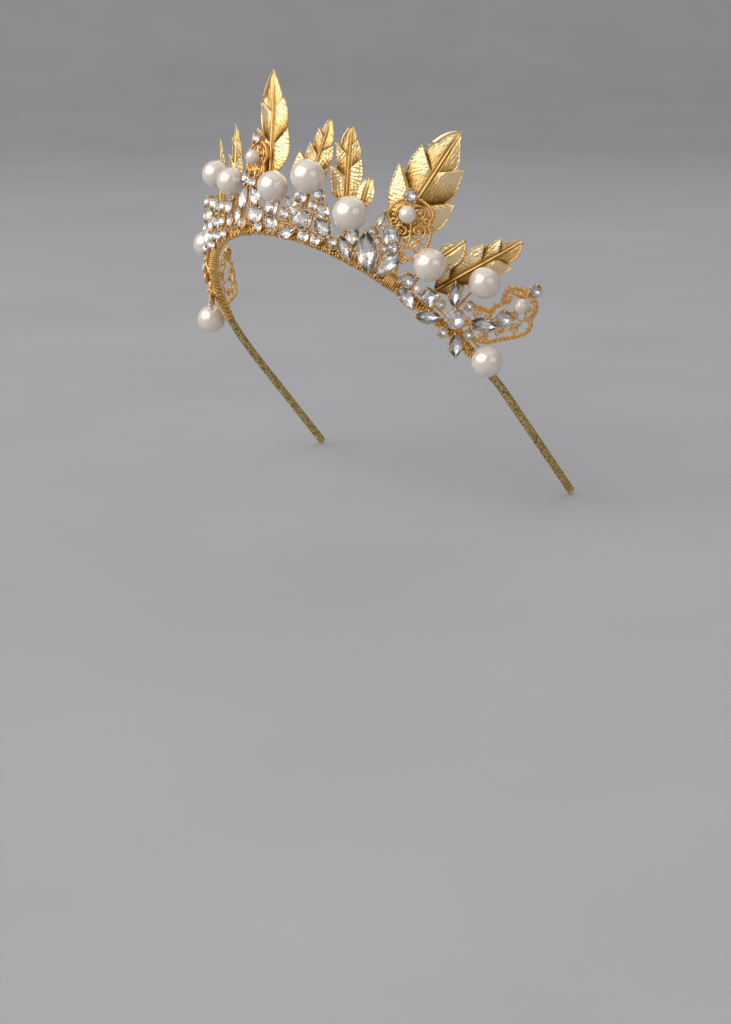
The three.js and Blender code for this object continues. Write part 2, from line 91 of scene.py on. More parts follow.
ANGLES = np.linspace(0, math.pi / 2, 2001)
speed = np.hypot(HALF_WIDTH * np.cos(ANGLES), RISE * np.sin(ANGLES))
steps = (speed[1:] + speed[:-1]) / 2 * np.diff(ANGLES)
ARC_LENGTHS = np.concatenate([[0], np.cumsum(steps)])
QUARTER = ARC_LENGTHS[-1]
BAND_END = QUARTER + ARM_LENGTH


def unit(vectors):
    return vectors / np.linalg.norm(vectors, axis=-1, keepdims=True)


def stations(s):
    """Points, directions and outward directions of the band at each s."""
    s = np.atleast_1d(np.asarray(s, float))
    side = np.where(s < 0, -1.0, 1.0)
    past = np.maximum(np.abs(s) - QUARTER, 0)
    angle = np.interp(np.minimum(np.abs(s), QUARTER - 1e-9), ARC_LENGTHS, ANGLES)
    points = np.outer(side * HALF_WIDTH * np.sin(angle), ACROSS)
    points += np.outer(RISE * np.cos(angle) - past, FORWARD)
    along = np.outer(HALF_WIDTH * np.cos(angle), ACROSS) - np.outer(side * RISE * np.sin(angle), FORWARD)
    along = unit(along)
    return points, along, np.cross(along, NORMAL)


def axes(s):
    """Points, directions along the band, up the sheet and out of its face at each s."""
    points, along, out = stations(s)
    rise = NORMAL * math.cos(LEAN) + out * math.sin(LEAN)
    face = out * math.cos(LEAN) - NORMAL * math.sin(LEAN)
    return points, along, rise, face


def on_sheet(places):
    """Places (s, h, q) as points."""
    places = np.asarray(places, float).reshape(-1, 3)
    points, _, rise, face = axes(places[:, 0])
    return points + rise * places[:, 1:2] + face * places[:, 2:3]


def seat(s, h, q, turn=0.0):
    """Matrix whose columns are the axes and the origin at a place on the sheet, turned towards +s."""
    points, along, rise, face = (part[0] for part in axes(s))
    c, w = math.cos(math.radians(turn)), math.sin(math.radians(turn))
    origin = points + rise * h + face * q
    return np.column_stack([along * c - rise * w, along * w + rise * c, face, origin])


def put(points, place):
    return np.asarray(points, float) @ place[:, :3].T + place[:, 3]


SEARCH = np.arange(-BAND_END, BAND_END, 0.05)
SEARCH_AXES = axes(SEARCH)
SHEET_REACH, SHEET_BOTTOM = 65, -8


def whereabouts(point):
    """(s, h, q) of a point near the sheet."""
    offset = point - SEARCH_AXES[0]
    off_sheet = np.linalg.norm(offset, axis=1) > SHEET_REACH
    off_sheet |= (offset * SEARCH_AXES[2]).sum(1) < SHEET_BOTTOM
    miss = np.abs((offset * SEARCH_AXES[1]).sum(1)) + np.where(off_sheet, 1e3, 0)
    best = int(miss.argmin())
    return SEARCH[best], offset[best] @ SEARCH_AXES[2][best], offset[best] @ SEARCH_AXES[3][best]


def middle(points, place):
    """Centre of the points' extent along the axes of a place."""
    local = (points - place[:, 3]) @ place[:, :3]
    return put((local.min(0) + local.max(0)) / 2, place)


def node_seat(node, turn=0.0):
    """Matrix of a CAD node that stands on the sheet."""
    points = cad_points(node)
    low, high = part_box(node)
    centre = np.array((low + high) / 2) / MM
    for _ in range(2):
        place = seat(*whereabouts(centre), turn)
        centre = middle(points, place)
    place[:, 3] = centre
    return place


# ---- Mesh making ----
# Rings that round off a wire's ends: how far each stands off the end, and its size, both in radii.
END_SHIFTS, END_SIZES = [-0.9, -0.5, 0.5, 0.9], [0.3, 0.8, 0.8, 0.3]
ROPE_STEPS, STRAND_SIDES = 9, 6
BALL_SIDES, BALL_ROWS, BALL_POLE = 14, 9, 0.12


class Shape:
    """Gathers the points and faces of one piece. A note is a vector kept on each point."""

    def __init__(self):
        self.points, self.notes, self.faces, self.marks, self.smooths = [], [], [], [], []
        self.count = 0

    def add(self, made, mark=0, smooth=True, note=(0.0, 0.0, 0.0)):
        points, faces = made
        points = np.asarray(points, float).reshape(-1, 3)
        self.points.append(points)
        self.notes.append(np.broadcast_to(np.asarray(note, float), points.shape))
        marks = mark if isinstance(mark, list) else [mark] * len(faces)
        for face, its_mark in zip(faces, marks):
            self.faces.append([int(i) + self.count for i in face])
            self.marks.append(its_mark)
            self.smooths.append(smooth)
        self.count += len(points)
        return self

    def piece(self, name, looks, slot, *nodes):
        """The finished object, riding on the body and standing for the CAD nodes."""
        mesh = bpy.data.meshes.new(name)
        mesh.from_pydata((np.concatenate(self.points) * MM).tolist(), [], self.faces)
        for made in looks:
            mesh.materials.append(made)
        mesh.polygons.foreach_set("material_index", self.marks)
        mesh.polygons.foreach_set("use_smooth", self.smooths)
        note = mesh.attributes.new("note", "FLOAT_VECTOR", "POINT")
        note.data.foreach_set("vector", np.concatenate(self.notes).astype(np.float32).ravel())
        work = bmesh.new()
        work.from_mesh(mesh)
        bmesh.ops.recalc_face_normals(work, faces=work.faces)
        work.to_mesh(mesh)
        work.free()
        made = bpy.data.objects.new(name, mesh)
        bpy.context.scene.collection.objects.link(made)
        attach(made, BODY)
        if nodes:
            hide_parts(*nodes)
        return made


def skin(rings, looped=False):
    """Closed skin over matching rings of points."""
    rings = np.asarray(rings, float)
    rows, count = rings.shape[:2]
    index = np.arange(rows * count).reshape(rows, count)
    index = np.concatenate([index, index[:1]]) if looped else index
    beside = np.roll(index, -1, axis=1)
    faces = np.stack([index[:-1], beside[:-1], beside[1:], index[1:]], -1).reshape(-1, 4).tolist()
    if not looped:
        faces += [index[0][::-1].tolist(), index[-1].tolist()]
    return rings.reshape(-1, 3), faces


def curve(points, step, looped=False):
    """Even steps along a smooth curve through the points."""
    points = np.asarray(points, float)
    if looped:
        padded = np.concatenate([points[-1:], points, points[:2]])
    else:
        padded = np.concatenate([2 * points[:1] - points[1:2], points, 2 * points[-1:] - points[-2:-1]])
    share = np.linspace(0, 1, 17)[:-1, None]
    spans = []
    for a, b, c, d in zip(padded, padded[1:], padded[2:], padded[3:]):
        bend = (2 * b) + (c - a) * share + (2 * a - 5 * b + 4 * c - d) * share**2
        spans.append(0.5 * (bend + (3 * b - a - 3 * c + d) * share**3))
    dense = np.concatenate([*spans, points[:1] if looped else points[-1:]])
    run = np.concatenate([[0], np.cumsum(np.linalg.norm(np.diff(dense, axis=0), axis=1))])
    count = max(3, round(run[-1] / step))
    at = np.linspace(0, run[-1], count + 1)
    at = at[:-1] if looped else at
    return np.column_stack([np.interp(at, run, dense[:, k]) for k in range(3)])


def carried(path, looped=False):
    """Directions along a path and a pair of axes across it that don't twist."""
    path = np.asarray(path, float)
    along = np.roll(path, -1, 0) - np.roll(path, 1, 0)
    if not looped:
        along[0], along[-1] = path[1] - path[0], path[-1] - path[-2]
    along = unit(along)
    normal = np.cross(along[0], ACROSS if abs(along[0][0]) < 0.8 else FORWARD)
    normals = []
    for direction in along:
        normal = unit(normal - direction * (normal @ direction))
        normals.append(normal)
    return along, np.array(normals), np.cross(along, np.array(normals))


def tube(path, radius, sides=8, looped=False):
    """Round wire along a path, with rounded ends. The radius may differ from point to point."""
    path = np.asarray(path, float)
    along, normal, across = carried(path, looped)
    radius = np.broadcast_to(np.asarray(radius, float), len(path))
    if not looped:
        order = [0, 0, *range(len(path)), -1, -1]
        shift = np.zeros(len(order))
        scale = np.ones(len(order))
        shift[[0, 1, -2, -1]] = END_SHIFTS
        scale[[0, 1, -2, -1]] = END_SIZES
        path = path[order] + along[order] * (shift * radius[order])[:, None]
        normal, across, radius = normal[order], across[order], radius[order] * scale
    turn = 2 * math.pi * np.arange(sides) / sides
    spokes = normal[:, None] * np.cos(turn)[:, None] + across[:, None] * np.sin(turn)[:, None]
    return skin(path[:, None] + spokes * radius[:, None, None], looped)


def rope(points, strand, pitch, looped=False):
    """Two wires twisted about each other along a curve."""
    path = curve(points, pitch / ROPE_STEPS, looped)
    _, normal, across = carried(path, looped)
    turns = max(1, round(len(path) / ROPE_STEPS)) / len(path) if looped else 1 / ROPE_STEPS
    turn = 2 * math.pi * np.arange(len(path)) * turns
    strands = []
    for start in (0.0, math.pi):
        offset = normal * np.cos(turn + start)[:, None] + across * np.sin(turn + start)[:, None]
        strands.append(tube(path + offset * strand, strand, STRAND_SIDES, looped))
    return strands


def ball(centre, radius):
    """Solder bead."""
    polar = np.linspace(BALL_POLE, math.pi - BALL_POLE, BALL_ROWS)
    turn = 2 * math.pi * np.arange(BALL_SIDES) / BALL_SIDES
    x, y = np.outer(np.sin(polar), np.cos(turn)), np.outer(np.sin(polar), np.sin(turn))
    rings = np.stack([x, y, np.outer(np.cos(polar), np.ones(BALL_SIDES))], -1)
    return skin(rings * radius + centre)


# ---- Materials ----
def look(name, sockets):
    made = bpy.data.materials.new(name)
    made.use_nodes = True
    shader = made.node_tree.nodes["Principled BSDF"]
    for socket, value in sockets.items():
        shader.inputs[socket].default_value = value
    return made


def node(made, kind, values=None, **settings):
    found = made.node_tree.nodes.new(kind)
    for key, value in settings.items():
        setattr(found, key, value)
    for socket, value in (values or {}).items():
        found.inputs[socket].default_value = value
    return found


def link(made, source, target):
    made.node_tree.links.new(source, target)


def shader_of(made):
    return made.node_tree.nodes["Principled BSDF"]


def noise(made, scale, detail=3.0, vector=None):
    if vector is None:
        vector = node(made, "ShaderNodeTexCoord").outputs["Object"]
    found = node(made, "ShaderNodeTexNoise", {"Scale": scale, "Detail": detail})
    link(made, vector, found.inputs["Vector"])
    return found.outputs["Fac"]


def ramp(made, source, stops):
    found = node(made, "ShaderNodeValToRGB")
    elements = found.color_ramp.elements
    while len(elements) < len(stops):
        elements.new(0.5)
    for element, (place, colour) in zip(elements, stops):
        element.position, element.color = place, (*colour, 1)
    link(made, source, found.inputs["Fac"])
    link(made, found.outputs["Color"], shader_of(made).inputs["Base Color"])


def spread_roughness(made, source, low, high):
    found = node(made, "ShaderNodeMapRange", {"To Min": low, "To Max": high})
    link(made, source, found.inputs["Value"])
    link(made, found.outputs["Result"], shader_of(made).inputs["Roughness"])


def bump(made, source, depth, strength=1.0, before=None):
    found = node(made, "ShaderNodeBump", {"Strength": strength, "Distance": depth * MM})
    link(made, source, found.inputs["Height"])
    if before:
        link(made, before, found.inputs["Normal"])
    link(made, found.outputs["Normal"], shader_of(made).inputs["Normal"])
    return found.outputs["Normal"]


def gold_look():
    made = look("polished_gold", {"Metallic": 1.0})
    ramp(made, noise(made, 700), [(0.3, (0.80, 0.45, 0.12)), (0.7, (0.98, 0.68, 0.28))])
    spread_roughness(made, noise(made, 1600), 0.08, 0.24)
    bump(made, noise(made, 2600, 4), 0.012, 0.4)
    return made


def leaf_look():
    """Satin plate, brushed along each leaf, with painted shade that makes it dark in its hollows and painted
    highlights that make it bright on its ridges.
    """
    made = look("antique_gold", {"Metallic": 1.0})
    note = node(made, "ShaderNodeAttribute", attribute_name="note")
    parts = node(made, "ShaderNodeSeparateXYZ")
    link(made, note.outputs["Vector"], parts.inputs["Vector"])
    # The second stop is the tone of the painted shade towards each leaf's foot.
    hollow, foot_shade = (0.14, 0.065, 0.012), (0.46, 0.27, 0.075)
    body, ridge = (0.80, 0.53, 0.20), (1.0, 0.80, 0.45)
    # Painted light: the note's third value runs from painted shade in the hollows to painted highlight on
    # the ridges.
    ramp(made, parts.outputs["Z"], [(0.0, hollow), (0.34, foot_shade), (0.56, body), (1.0, ridge)])
    brushed = node(made, "ShaderNodeMapping", {"Scale": (11.0, 1.5, 0.4)})
    link(made, note.outputs["Vector"], brushed.inputs["Vector"])
    streaks = noise(made, 1.0, 5, brushed.outputs["Vector"])
    spread_roughness(made, noise(made, 900), 0.22, 0.40)
    first = bump(made, streaks, 0.06, 0.8)
    bump(made, noise(made, 2200, 3), 0.04, 0.5, first)
    return made


def pearl_look():
    made = look("cream_pearl", {
        "Subsurface Weight": 0.25, "Subsurface Radius": (0.0015, 0.001, 0.0008),
        "Coat Weight": 1.0, "Coat Roughness": 0.02, "Coat IOR": 2.6,
        "Specular IOR Level": 0.65, "Sheen Weight": 0.1, "Sheen Roughness": 0.4})
    ramp(made, noise(made, 220, 2), [(0.3, (0.77, 0.67, 0.585)), (0.7, (0.84, 0.74, 0.655))])
    spread_roughness(made, noise(made, 500, 2), 0.26, 0.36)
    bump(made, noise(made, 900, 2), 0.02, 0.25)
    return made


def crystal_look():
    made = look("clear_crystal", {"Transmission Weight": 1.0, "IOR": 1.48, "Roughness": 0.0})
    ramp(made, noise(made, 300, 1), [(0.3, (0.97, 0.98, 1.0)), (0.7, (1.0, 0.995, 0.985))])
    return made


def foil_look():
    made = look("silver_foil", {"Metallic": 1.0})
    ramp(made, noise(made, 400, 1), [(0.3, (0.93, 0.94, 0.96)), (0.7, (0.99, 0.99, 0.98))])
    spread_roughness(made, noise(made, 1500, 2), 0.12, 0.28)
    return made


def thread_look():
    """Metallic thread: each crossing catches the light in its own way, and its palest grains are painted
    glints.
    """
    made = look("gold_thread", {"Metallic": 0.85})
    place = node(made, "ShaderNodeTexCoord").outputs["Object"]
    grains = node(made, "ShaderNodeTexVoronoi", {"Scale": 2600.0})
    link(made, place, grains.inputs["Vector"])
    parts = node(made, "ShaderNodeSeparateColor")
    link(made, grains.outputs["Color"], parts.inputs["Color"])
    # Painted glints: each grain takes a colour at random, and the pale end of this ramp is painted
    # highlight.
    ramp(made, parts.outputs["Red"],
         [(0.0, (0.10, 0.05, 0.008)), (0.45, (0.55, 0.35, 0.07)), (1.0, (1.0, 0.86, 0.45))])
    spread_roughness(made, parts.outputs["Green"], 0.18, 0.5)
    bump(made, grains.outputs["Distance"], 0.12, 0.7)
    return made


def steel_look():
    made = look("spring_steel", {"Metallic": 1.0})
    ramp(made, noise(made, 900), [(0.3, (0.42, 0.42, 0.43)), (0.7, (0.62, 0.62, 0.63))])
    spread_roughness(made, noise(made, 1800), 0.25, 0.45)
    return made


GOLD, ANTIQUE, PEARL = gold_look(), leaf_look(), pearl_look()
CRYSTAL, FOIL, THREAD, STEEL = crystal_look(), foil_look(), thread_look(), steel_look()


# ---- Band: a flat spring wire inside a sleeve of braided thread ----
BAND_WIDTH, BAND_THICKNESS, WRAP_WALL = 3.0, 2.0, 0.35
THREAD_PITCH, THREAD_HEIGHT, THREADS_ROUND = 0.66, 0.13, 5
CORNER = 0.75
SLEEVE_SIDES = 36
ARM_STEP, ARCH_STEP = 0.12, 0.13


def band_section(width, thickness, count):
    """Points across and through a flat band with rounded corners."""
    turn = 2 * math.pi * np.arange(count) / count
    c, w = np.cos(turn), np.sin(turn)
    return np.sign(c) * np.abs(c) ** CORNER * width / 2, np.sign(w) * np.abs(w) ** CORNER * thickness / 2


def band_rings(s, width, thickness, count, swell=0.0):
    across, thick = band_section(width, thickness, count)
    points, _, out = stations(s)
    size = 1 + np.broadcast_to(swell, (len(s), count)) / np.hypot(across, thick)
    offset = NORMAL * (across * size)[..., None] + out[:, None] * (thick * size)[..., None]
    return points[:, None] + offset


def braid(s, count):
    """Height of the crossing threads over the sleeve."""
    turn = np.arange(count) / count * THREADS_ROUND
    one = s[:, None] / THREAD_PITCH + turn
    other = s[:, None] / THREAD_PITCH - turn
    over = (np.floor(one) + np.floor(other)) % 2
    return THREAD_HEIGHT * np.where(over, np.abs(np.sin(math.pi * one)), np.abs(np.sin(math.pi * other)))


def sleeve(name, start, end, step):
    """One stretch of the thread sleeve, braided outside and smooth inside."""
    s = np.linspace(start, end, round((end - start) / step))
    swell = braid(s, SLEEVE_SIDES) - THREAD_HEIGHT * 0.7
    outer = band_rings(s, BAND_WIDTH, BAND_THICKNESS, SLEEVE_SIDES, swell)
    few = np.linspace(start, end, max(12, round((end - start) / 2)))
    inner = band_rings(few, BAND_WIDTH - 2 * WRAP_WALL, BAND_THICKNESS - 2 * WRAP_WALL, SLEEVE_SIDES)
    rings = np.concatenate([outer, inner[::-1]])
    return Shape().add(skin(rings, looped=True)).piece(name, [THREAD], "gold_thread", "band_wrap")


JOIN = 93.0
sleeve("wrap_right_arm", -BAND_END, -JOIN, ARM_STEP)
sleeve("wrap_arch", -JOIN, JOIN, ARCH_STEP)
sleeve("wrap_left_arm", JOIN, BAND_END, ARM_STEP)

CORE_WIDTH, CORE_THICKNESS = 2.1, 1.1
core_run = np.linspace(-BAND_END, BAND_END, 400)
Shape().add(skin(band_rings(core_run, CORE_WIDTH, CORE_THICKNESS, 16))).piece(
    "spring_core", [STEEL], "core_steel", "band_core")


# ---- Stones ----
GIRDLE = 16


def round_outline(width, length):
    turn = 2 * math.pi * np.arange(GIRDLE) / GIRDLE
    return np.column_stack([np.sin(turn) * width / 2, np.cos(turn) * length / 2])


def pointed_outline(width, length):
    y = np.cos(math.pi * np.arange(GIRDLE // 2 + 1) / (GIRDLE // 2)) / 2
    side = np.column_stack([0.5 * width * (1 - 4 * y * y) ** 0.9, y * length])
    return np.concatenate([side, side[-2:0:-1] * [-1, 1]])


def pear_outline(width, length):
    turn = np.linspace(0, math.pi, GIRDLE // 2 + 1)
    x = np.sin(turn) * width / 2 * (0.5 - 0.5 * np.cos(turn)) ** 0.35
    side = np.column_stack([x, np.cos(turn) * length / 2])
    return np.concatenate([side, side[-2:0:-1] * [-1, 1]])


def square_outline(width, length, cut=0.13):
    x, y, c = width / 2, length / 2, cut * width
    quarter = [(0, y), ((x - c) * 0.6, y), (x - c, y), (x, y - c), (x, (y - c) * 0.5)]
    right = quarter[:4] + [(x, 0)] + [(a, -b) for a, b in quarter[3:0:-1]]
    left = [(0, -y)] + [(-a, b) for a, b in right[:0:-1]]
    return np.array(right + left)


OUTLINES = {
    "round": round_outline, "pointed": pointed_outline, "pear": pear_outline, "square": square_outline}
# The points of each outline that a claw grips.
CLAWS = {"round": (2, 6, 10, 14), "pointed": (0, 4, 8, 12), "pear": (0, 5, 11), "square": (3, 5, 11, 13)}
PAVILION_SHARE, PAVILION_LIMIT, CROWN_SHARE = 0.25, 1.5, 0.18
# Facet corners, as shares of the outline and of the crown's height or the pavilion's depth.
TABLE_SIZE, STAR_SIZE, STAR_HEIGHT = 0.52, 0.76, 0.62
GIRDLE_EDGE, WAIST_SIZE, WAIST_DEPTH = 0.12, 0.55, 0.52


def level(outline, scale, z):
    return np.column_stack([outline * scale, np.full(len(outline), z)])


def cut_stone(outline, width):
    """Table, star, kite and girdle facets over a pavilion of main and lower facets."""
    crown = CROWN_SHARE * width
    depth = min(PAVILION_SHARE * width, PAVILION_LIMIT)
    n = len(outline)
    table = level(outline, TABLE_SIZE, crown)[::2]
    stars = level(outline, STAR_SIZE, crown * STAR_HEIGHT)[1::2]
    girdle_top, girdle = level(outline, 1.0, GIRDLE_EDGE), level(outline, 1.0, 0.0)
    waist = level(outline, WAIST_SIZE, -depth * WAIST_DEPTH)[::2]
    culet = np.array([[0, 0, -depth]])
    points = np.concatenate([table, stars, girdle_top, girdle, waist, culet])
    half = n // 2
    t, m, g, k, w, c = 0, half, n, 2 * n, 3 * n, 3 * n + half
    faces, marks = [[t + i for i in range(half)]], [0]
    for i in range(half):
        j, before = (i + 1) % half, (i - 1) % half
        a, b, d = 2 * i, 2 * i + 1, (2 * i + 2) % n
        faces += [[t + i, t + j, m + i], [t + i, m + i, g + a, m + before]]
        faces += [[m + i, g + a, g + b], [m + i, g + b, g + d]]
        faces += [[g + a, k + a, k + b, g + b], [g + b, k + b, k + d, g + d]]
        marks += [0] * 6
        faces += [[k + a, w + i, k + b], [k + b, w + i, w + j], [k + b, w + j, k + d], [w + i, c, w + j]]
        marks += [1] * 4
    return (points, faces), marks


def grown(outline, margin):
    """The outline, standing out by a margin."""
    return outline * (1 + margin / np.linalg.norm(outline, axis=1))[:, None]


def cup(outline, width):
    """Thin gold wall round the girdle, open at the back."""
    depth = min(PAVILION_SHARE * width, PAVILION_LIMIT)
    rings = [level(grown(outline, 0.30), 1.0, 0.02), level(grown(outline, 0.12), 1.0, 0.10),
             level(grown(outline, 0.05), 1.0, -0.08), level(outline, 0.50, -depth - 0.02),
             level(outline, 0.52, -depth - 0.42), level(grown(outline, 0.22), 0.86, -depth * 0.55)]
    return skin(rings, looped=True)


def claw(outline, pick, width):
    """Wire from under the cup, past the girdle, bent over the crown."""
    x, y = outline[pick]
    size = math.hypot(x, y)
    crown, depth = CROWN_SHARE * width, min(PAVILION_SHARE * width, PAVILION_LIMIT)
    thick = 0.2 + 0.022 * width
    reach = [(size * 0.62, -depth - 0.2), (size + 0.12, -depth * 0.4), (size + 0.26, 0.02),
             (size + 0.14, crown * 0.35), (size * 0.86, crown * 0.62)]
    path = curve([(x / size * r, y / size * r, z) for r, z in reach], 0.22)
    swell = np.interp(np.linspace(0, 1, len(path)), [0, 0.5, 0.85, 1], [0.8, 0.95, 1.15, 0.85])
    return tube(path, thick * swell, 8)


# Stones that have a CAD node, by their setting: name, cut, width, length and turn.
HELD_STONES = {
    "far": [
        ("crystal_far_round", "round", 6, 6, 0),
    ],
    "centre": [
        ("crystal_centre_round", "round", 7, 7, 0),
    ],
    "front": [
        ("crystal_front_round", "round", 6.8, 6.8, 0),
        ("crystal_front_pear", "pear", 5.2, 8.6, -52),
    ],
    "temple": [
        ("crystal_temple_navette_large", "pointed", 7, 14.5, 146),
        ("crystal_temple_pear", "pear", 6.4, 11, 197),
        ("crystal_temple_square", "square", 5, 6, -33),
        ("crystal_temple_navette", "pointed", 4.8, 9.4, -52),
    ],
    "trio": [
        ("crystal_trio_square", "square", 5.4, 5.4, -5),
    ],
    "flower": [
        ("crystal_flower_centre", "round", 7, 7, 0),
        ("crystal_petal_front", "pointed", 4.6, 9, 55),
        ("crystal_petal_back", "pointed", 4.8, 9.8, 59),
        ("crystal_petal_upper", "pointed", 4.4, 8.8, 141),
        ("crystal_petal_lower", "pointed", 4.6, 8.4, 132),
        ("crystal_side_round", "round", 6.2, 6.2, 0),
    ],
}
# Stones that the CAD fuses into their setting: cut, width, length, turn, s and h.
FUSED_STONES = {
    "far": [
        ("round", 4.8, 4.8, 0, -30, 6), ("pointed", 4.8, 9.6, 20, -42, 6.2),
        ("round", 4.6, 4.6, 0, -48.6, 4), ("round", 5.4, 5.4, 0, -34.8, 15.2),
        ("round", 5, 5, 0, -47.5, 11.4), ("pear", 4.6, 6.6, 20, -41, 14.2),
        ("round", 4.4, 4.4, 0, -29.6, 0.6), ("round", 4.2, 4.2, 0, -35.4, -0.8),
        ("round", 3.8, 3.8, 0, -29.2, 11.4), ("round", 4.4, 4.4, 0, -52.6, 19.5),
        ("round", 4.4, 4.4, 0, -51.6, 25),
    ],
    "far_front": [
        ("round", 5.8, 5.8, 0, -20, 8.8), ("round", 4.2, 4.2, 0, -25.2, 10.8),
        ("pointed", 4.8, 10.4, 6, -11.6, 10.7), ("round", 4.8, 4.8, 0, -18.1, 3.2),
        ("round", 4.4, 4.4, 0, -24.4, 4.6), ("pear", 4.4, 6.4, 190, -13.4, 4.6),
        ("round", 3.6, 3.6, 0, -22.6, -0.4),
    ],
    "centre": [
        ("square", 5.8, 5.8, 8, 2.7, 7.8), ("pointed", 4.4, 7.6, -32, -5.9, 11.6),
        ("pointed", 4.6, 8.0, -58, 4.2, 2.0), ("square", 4.4, 4.4, 20, -11.6, 18.4),
        ("round", 4.4, 4.4, 0, -10.4, 1.6), ("round", 3.8, 3.8, 0, -8.4, 16.2),
        ("round", 3.6, 3.6, 0, -1.6, 0.2),
    ],
    "front": [
        ("pointed", 5.8, 9.0, -62, 23.2, 5.6), ("pear", 5.0, 7.2, 60, 11.4, 0.4),
        ("round", 4.2, 4.2, 0, 17.7, 0.7), ("round", 4.0, 4.0, 0, 18.5, 15.6),
        ("pear", 5.2, 6.8, 120, 21.4, 10.8), ("round", 4.0, 4.0, 0, 8.3, 6.4),
        ("round", 4.4, 4.4, 0, 12.4, 13.2), ("round", 3.2, 3.2, 0, 17.4, 11.6),
        ("round", 3.6, 3.6, 0, 22.2, 0.8),
    ],
    "temple": [
        ("round", 3.4, 3.4, 0, 38.4, 12.4), ("round", 3.4, 3.4, 0, 40.8, 10.0),
        ("round", 3.2, 3.2, 0, 43.4, 9.0), ("round", 4.2, 4.2, 0, 46.0, 11.0),
        ("pointed", 4.8, 8.8, 158, 33.4, 7.0), ("pear", 4.4, 6.2, -70, 27.4, 2.6),
        ("pointed", 2.4, 6.6, -4, 38.6, 17),
    ],
    "trio": [
        ("round", 5.2, 5.2, 0, 55.2, 4.4), ("pear", 5.4, 8.4, 112, 58.6, -0.6),
    ],
    "flower": [
        ("round", 3.4, 3.4, 0, 82.4, 3.6), ("round", 3.4, 3.4, 0, 75.4, -1.8),
        ("round", 3.4, 3.4, 0, 75.8, 11.0), ("round", 3.2, 3.2, 0, 68.6, 4.9),
    ],
    "far_flower": [
        ("round", 6, 6, 0, -76, 5), ("pointed", 4.4, 9, 90, -68, 5), ("pointed", 4.4, 9, 90, -84, 5),
        ("round", 4.4, 4.4, 0, -61, 6), ("pointed", 4.0, 7.4, 10, -76, 12.4),
        ("round", 3.4, 3.4, 0, -81, 10.6), ("round", 3.4, 3.4, 0, -71, 10.2),
        ("pointed", 4.2, 7.6, 15, -75, -2.4), ("round", 4.2, 4.2, 0, -64, 0.4),
        ("round", 4.6, 4.6, 0, -57.6, 1.4), ("round", 4.0, 4.0, 0, -63.6, 11),
    ],
}
# The setting whose wires hold each large pearl.
PEARL_FRAMES = {
    "pearl_far_upper": "far", "pearl_far_front": "far_front", "pearl_centre": "centre",
    "pearl_front_high": "front", "pearl_front_low": "temple", "pearl_temple": "trio",
    "pearl_side_upper": "flower", "pearl_side_end": "flower",
    "pearl_far_side": "far_flower", "pearl_far_end": "far_flower"}
# Pearls lower than this stand over the band on straight stems.
OVER_BAND = 5
# The twisted wire that runs behind each group: its height on the sheet, strand and pitch.
BACKBONE_HEIGHT, BACKBONE_STRAND, BACKBONE_PITCH = 3.2, 0.22, 2.0
STEM_STRAND, STEM_PITCH = 0.26, 1.9
FOOT_SPREAD, BEND_SPREAD, STAY_RADIUS = 1.6, 0.6, 0.24
# Each small stone is turned at random by up to this many degrees.
TIP_SPREAD = 8
# Stones on this stretch of the band are turned towards the front.
FAR_YAW = 24
FAR_FROM, FAR_TO = -56, -26


def tipped(place, yaw, pitch):
    """A place turned about its own up axis by yaw and about its own side axis by pitch, in degrees."""
    c, w = math.cos(math.radians(yaw)), math.sin(math.radians(yaw))
    x, y, z = place[:, 0], place[:, 1], place[:, 2]
    x, z = x * c - z * w, z * c + x * w
    c, w = math.cos(math.radians(pitch)), math.sin(math.radians(pitch))
    return np.column_stack([x, y * c + z * w, z * c - y * w, place[:, 3]])


def stone(name, cut, width, length, place, cad=None):
    """Clear crown and girdle over a foiled pavilion, in one mesh."""
    made, marks = cut_stone(OUTLINES[cut](width, length), width)
    shape = Shape().add((put(made[0], place), made[1]), marks, smooth=False)
    nodes = [cad] if cad else []
    return shape.piece(name, [CRYSTAL, FOIL], "crystal", *nodes)


def claw_setting(shape, cut, width, length, place):
    outline = OUTLINES[cut](width, length)
    points, faces = cup(outline, width)
    shape.add((put(points, place), faces))
    for pick in CLAWS[cut]:
        points, faces = claw(outline, pick, width)
        shape.add((put(points, place), faces))


def pearl_facts(node):
    """Middle and diameter of a CAD pearl."""
    points = cad_points(node)
    low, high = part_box(node)
    centre = np.array((low + high) / 2) / MM
    return centre, 2 * np.linalg.norm(points - centre, axis=1).max()


def add_rope(shape, places, strand, pitch):
    for made in rope(places, strand, pitch):
        shape.add(made)


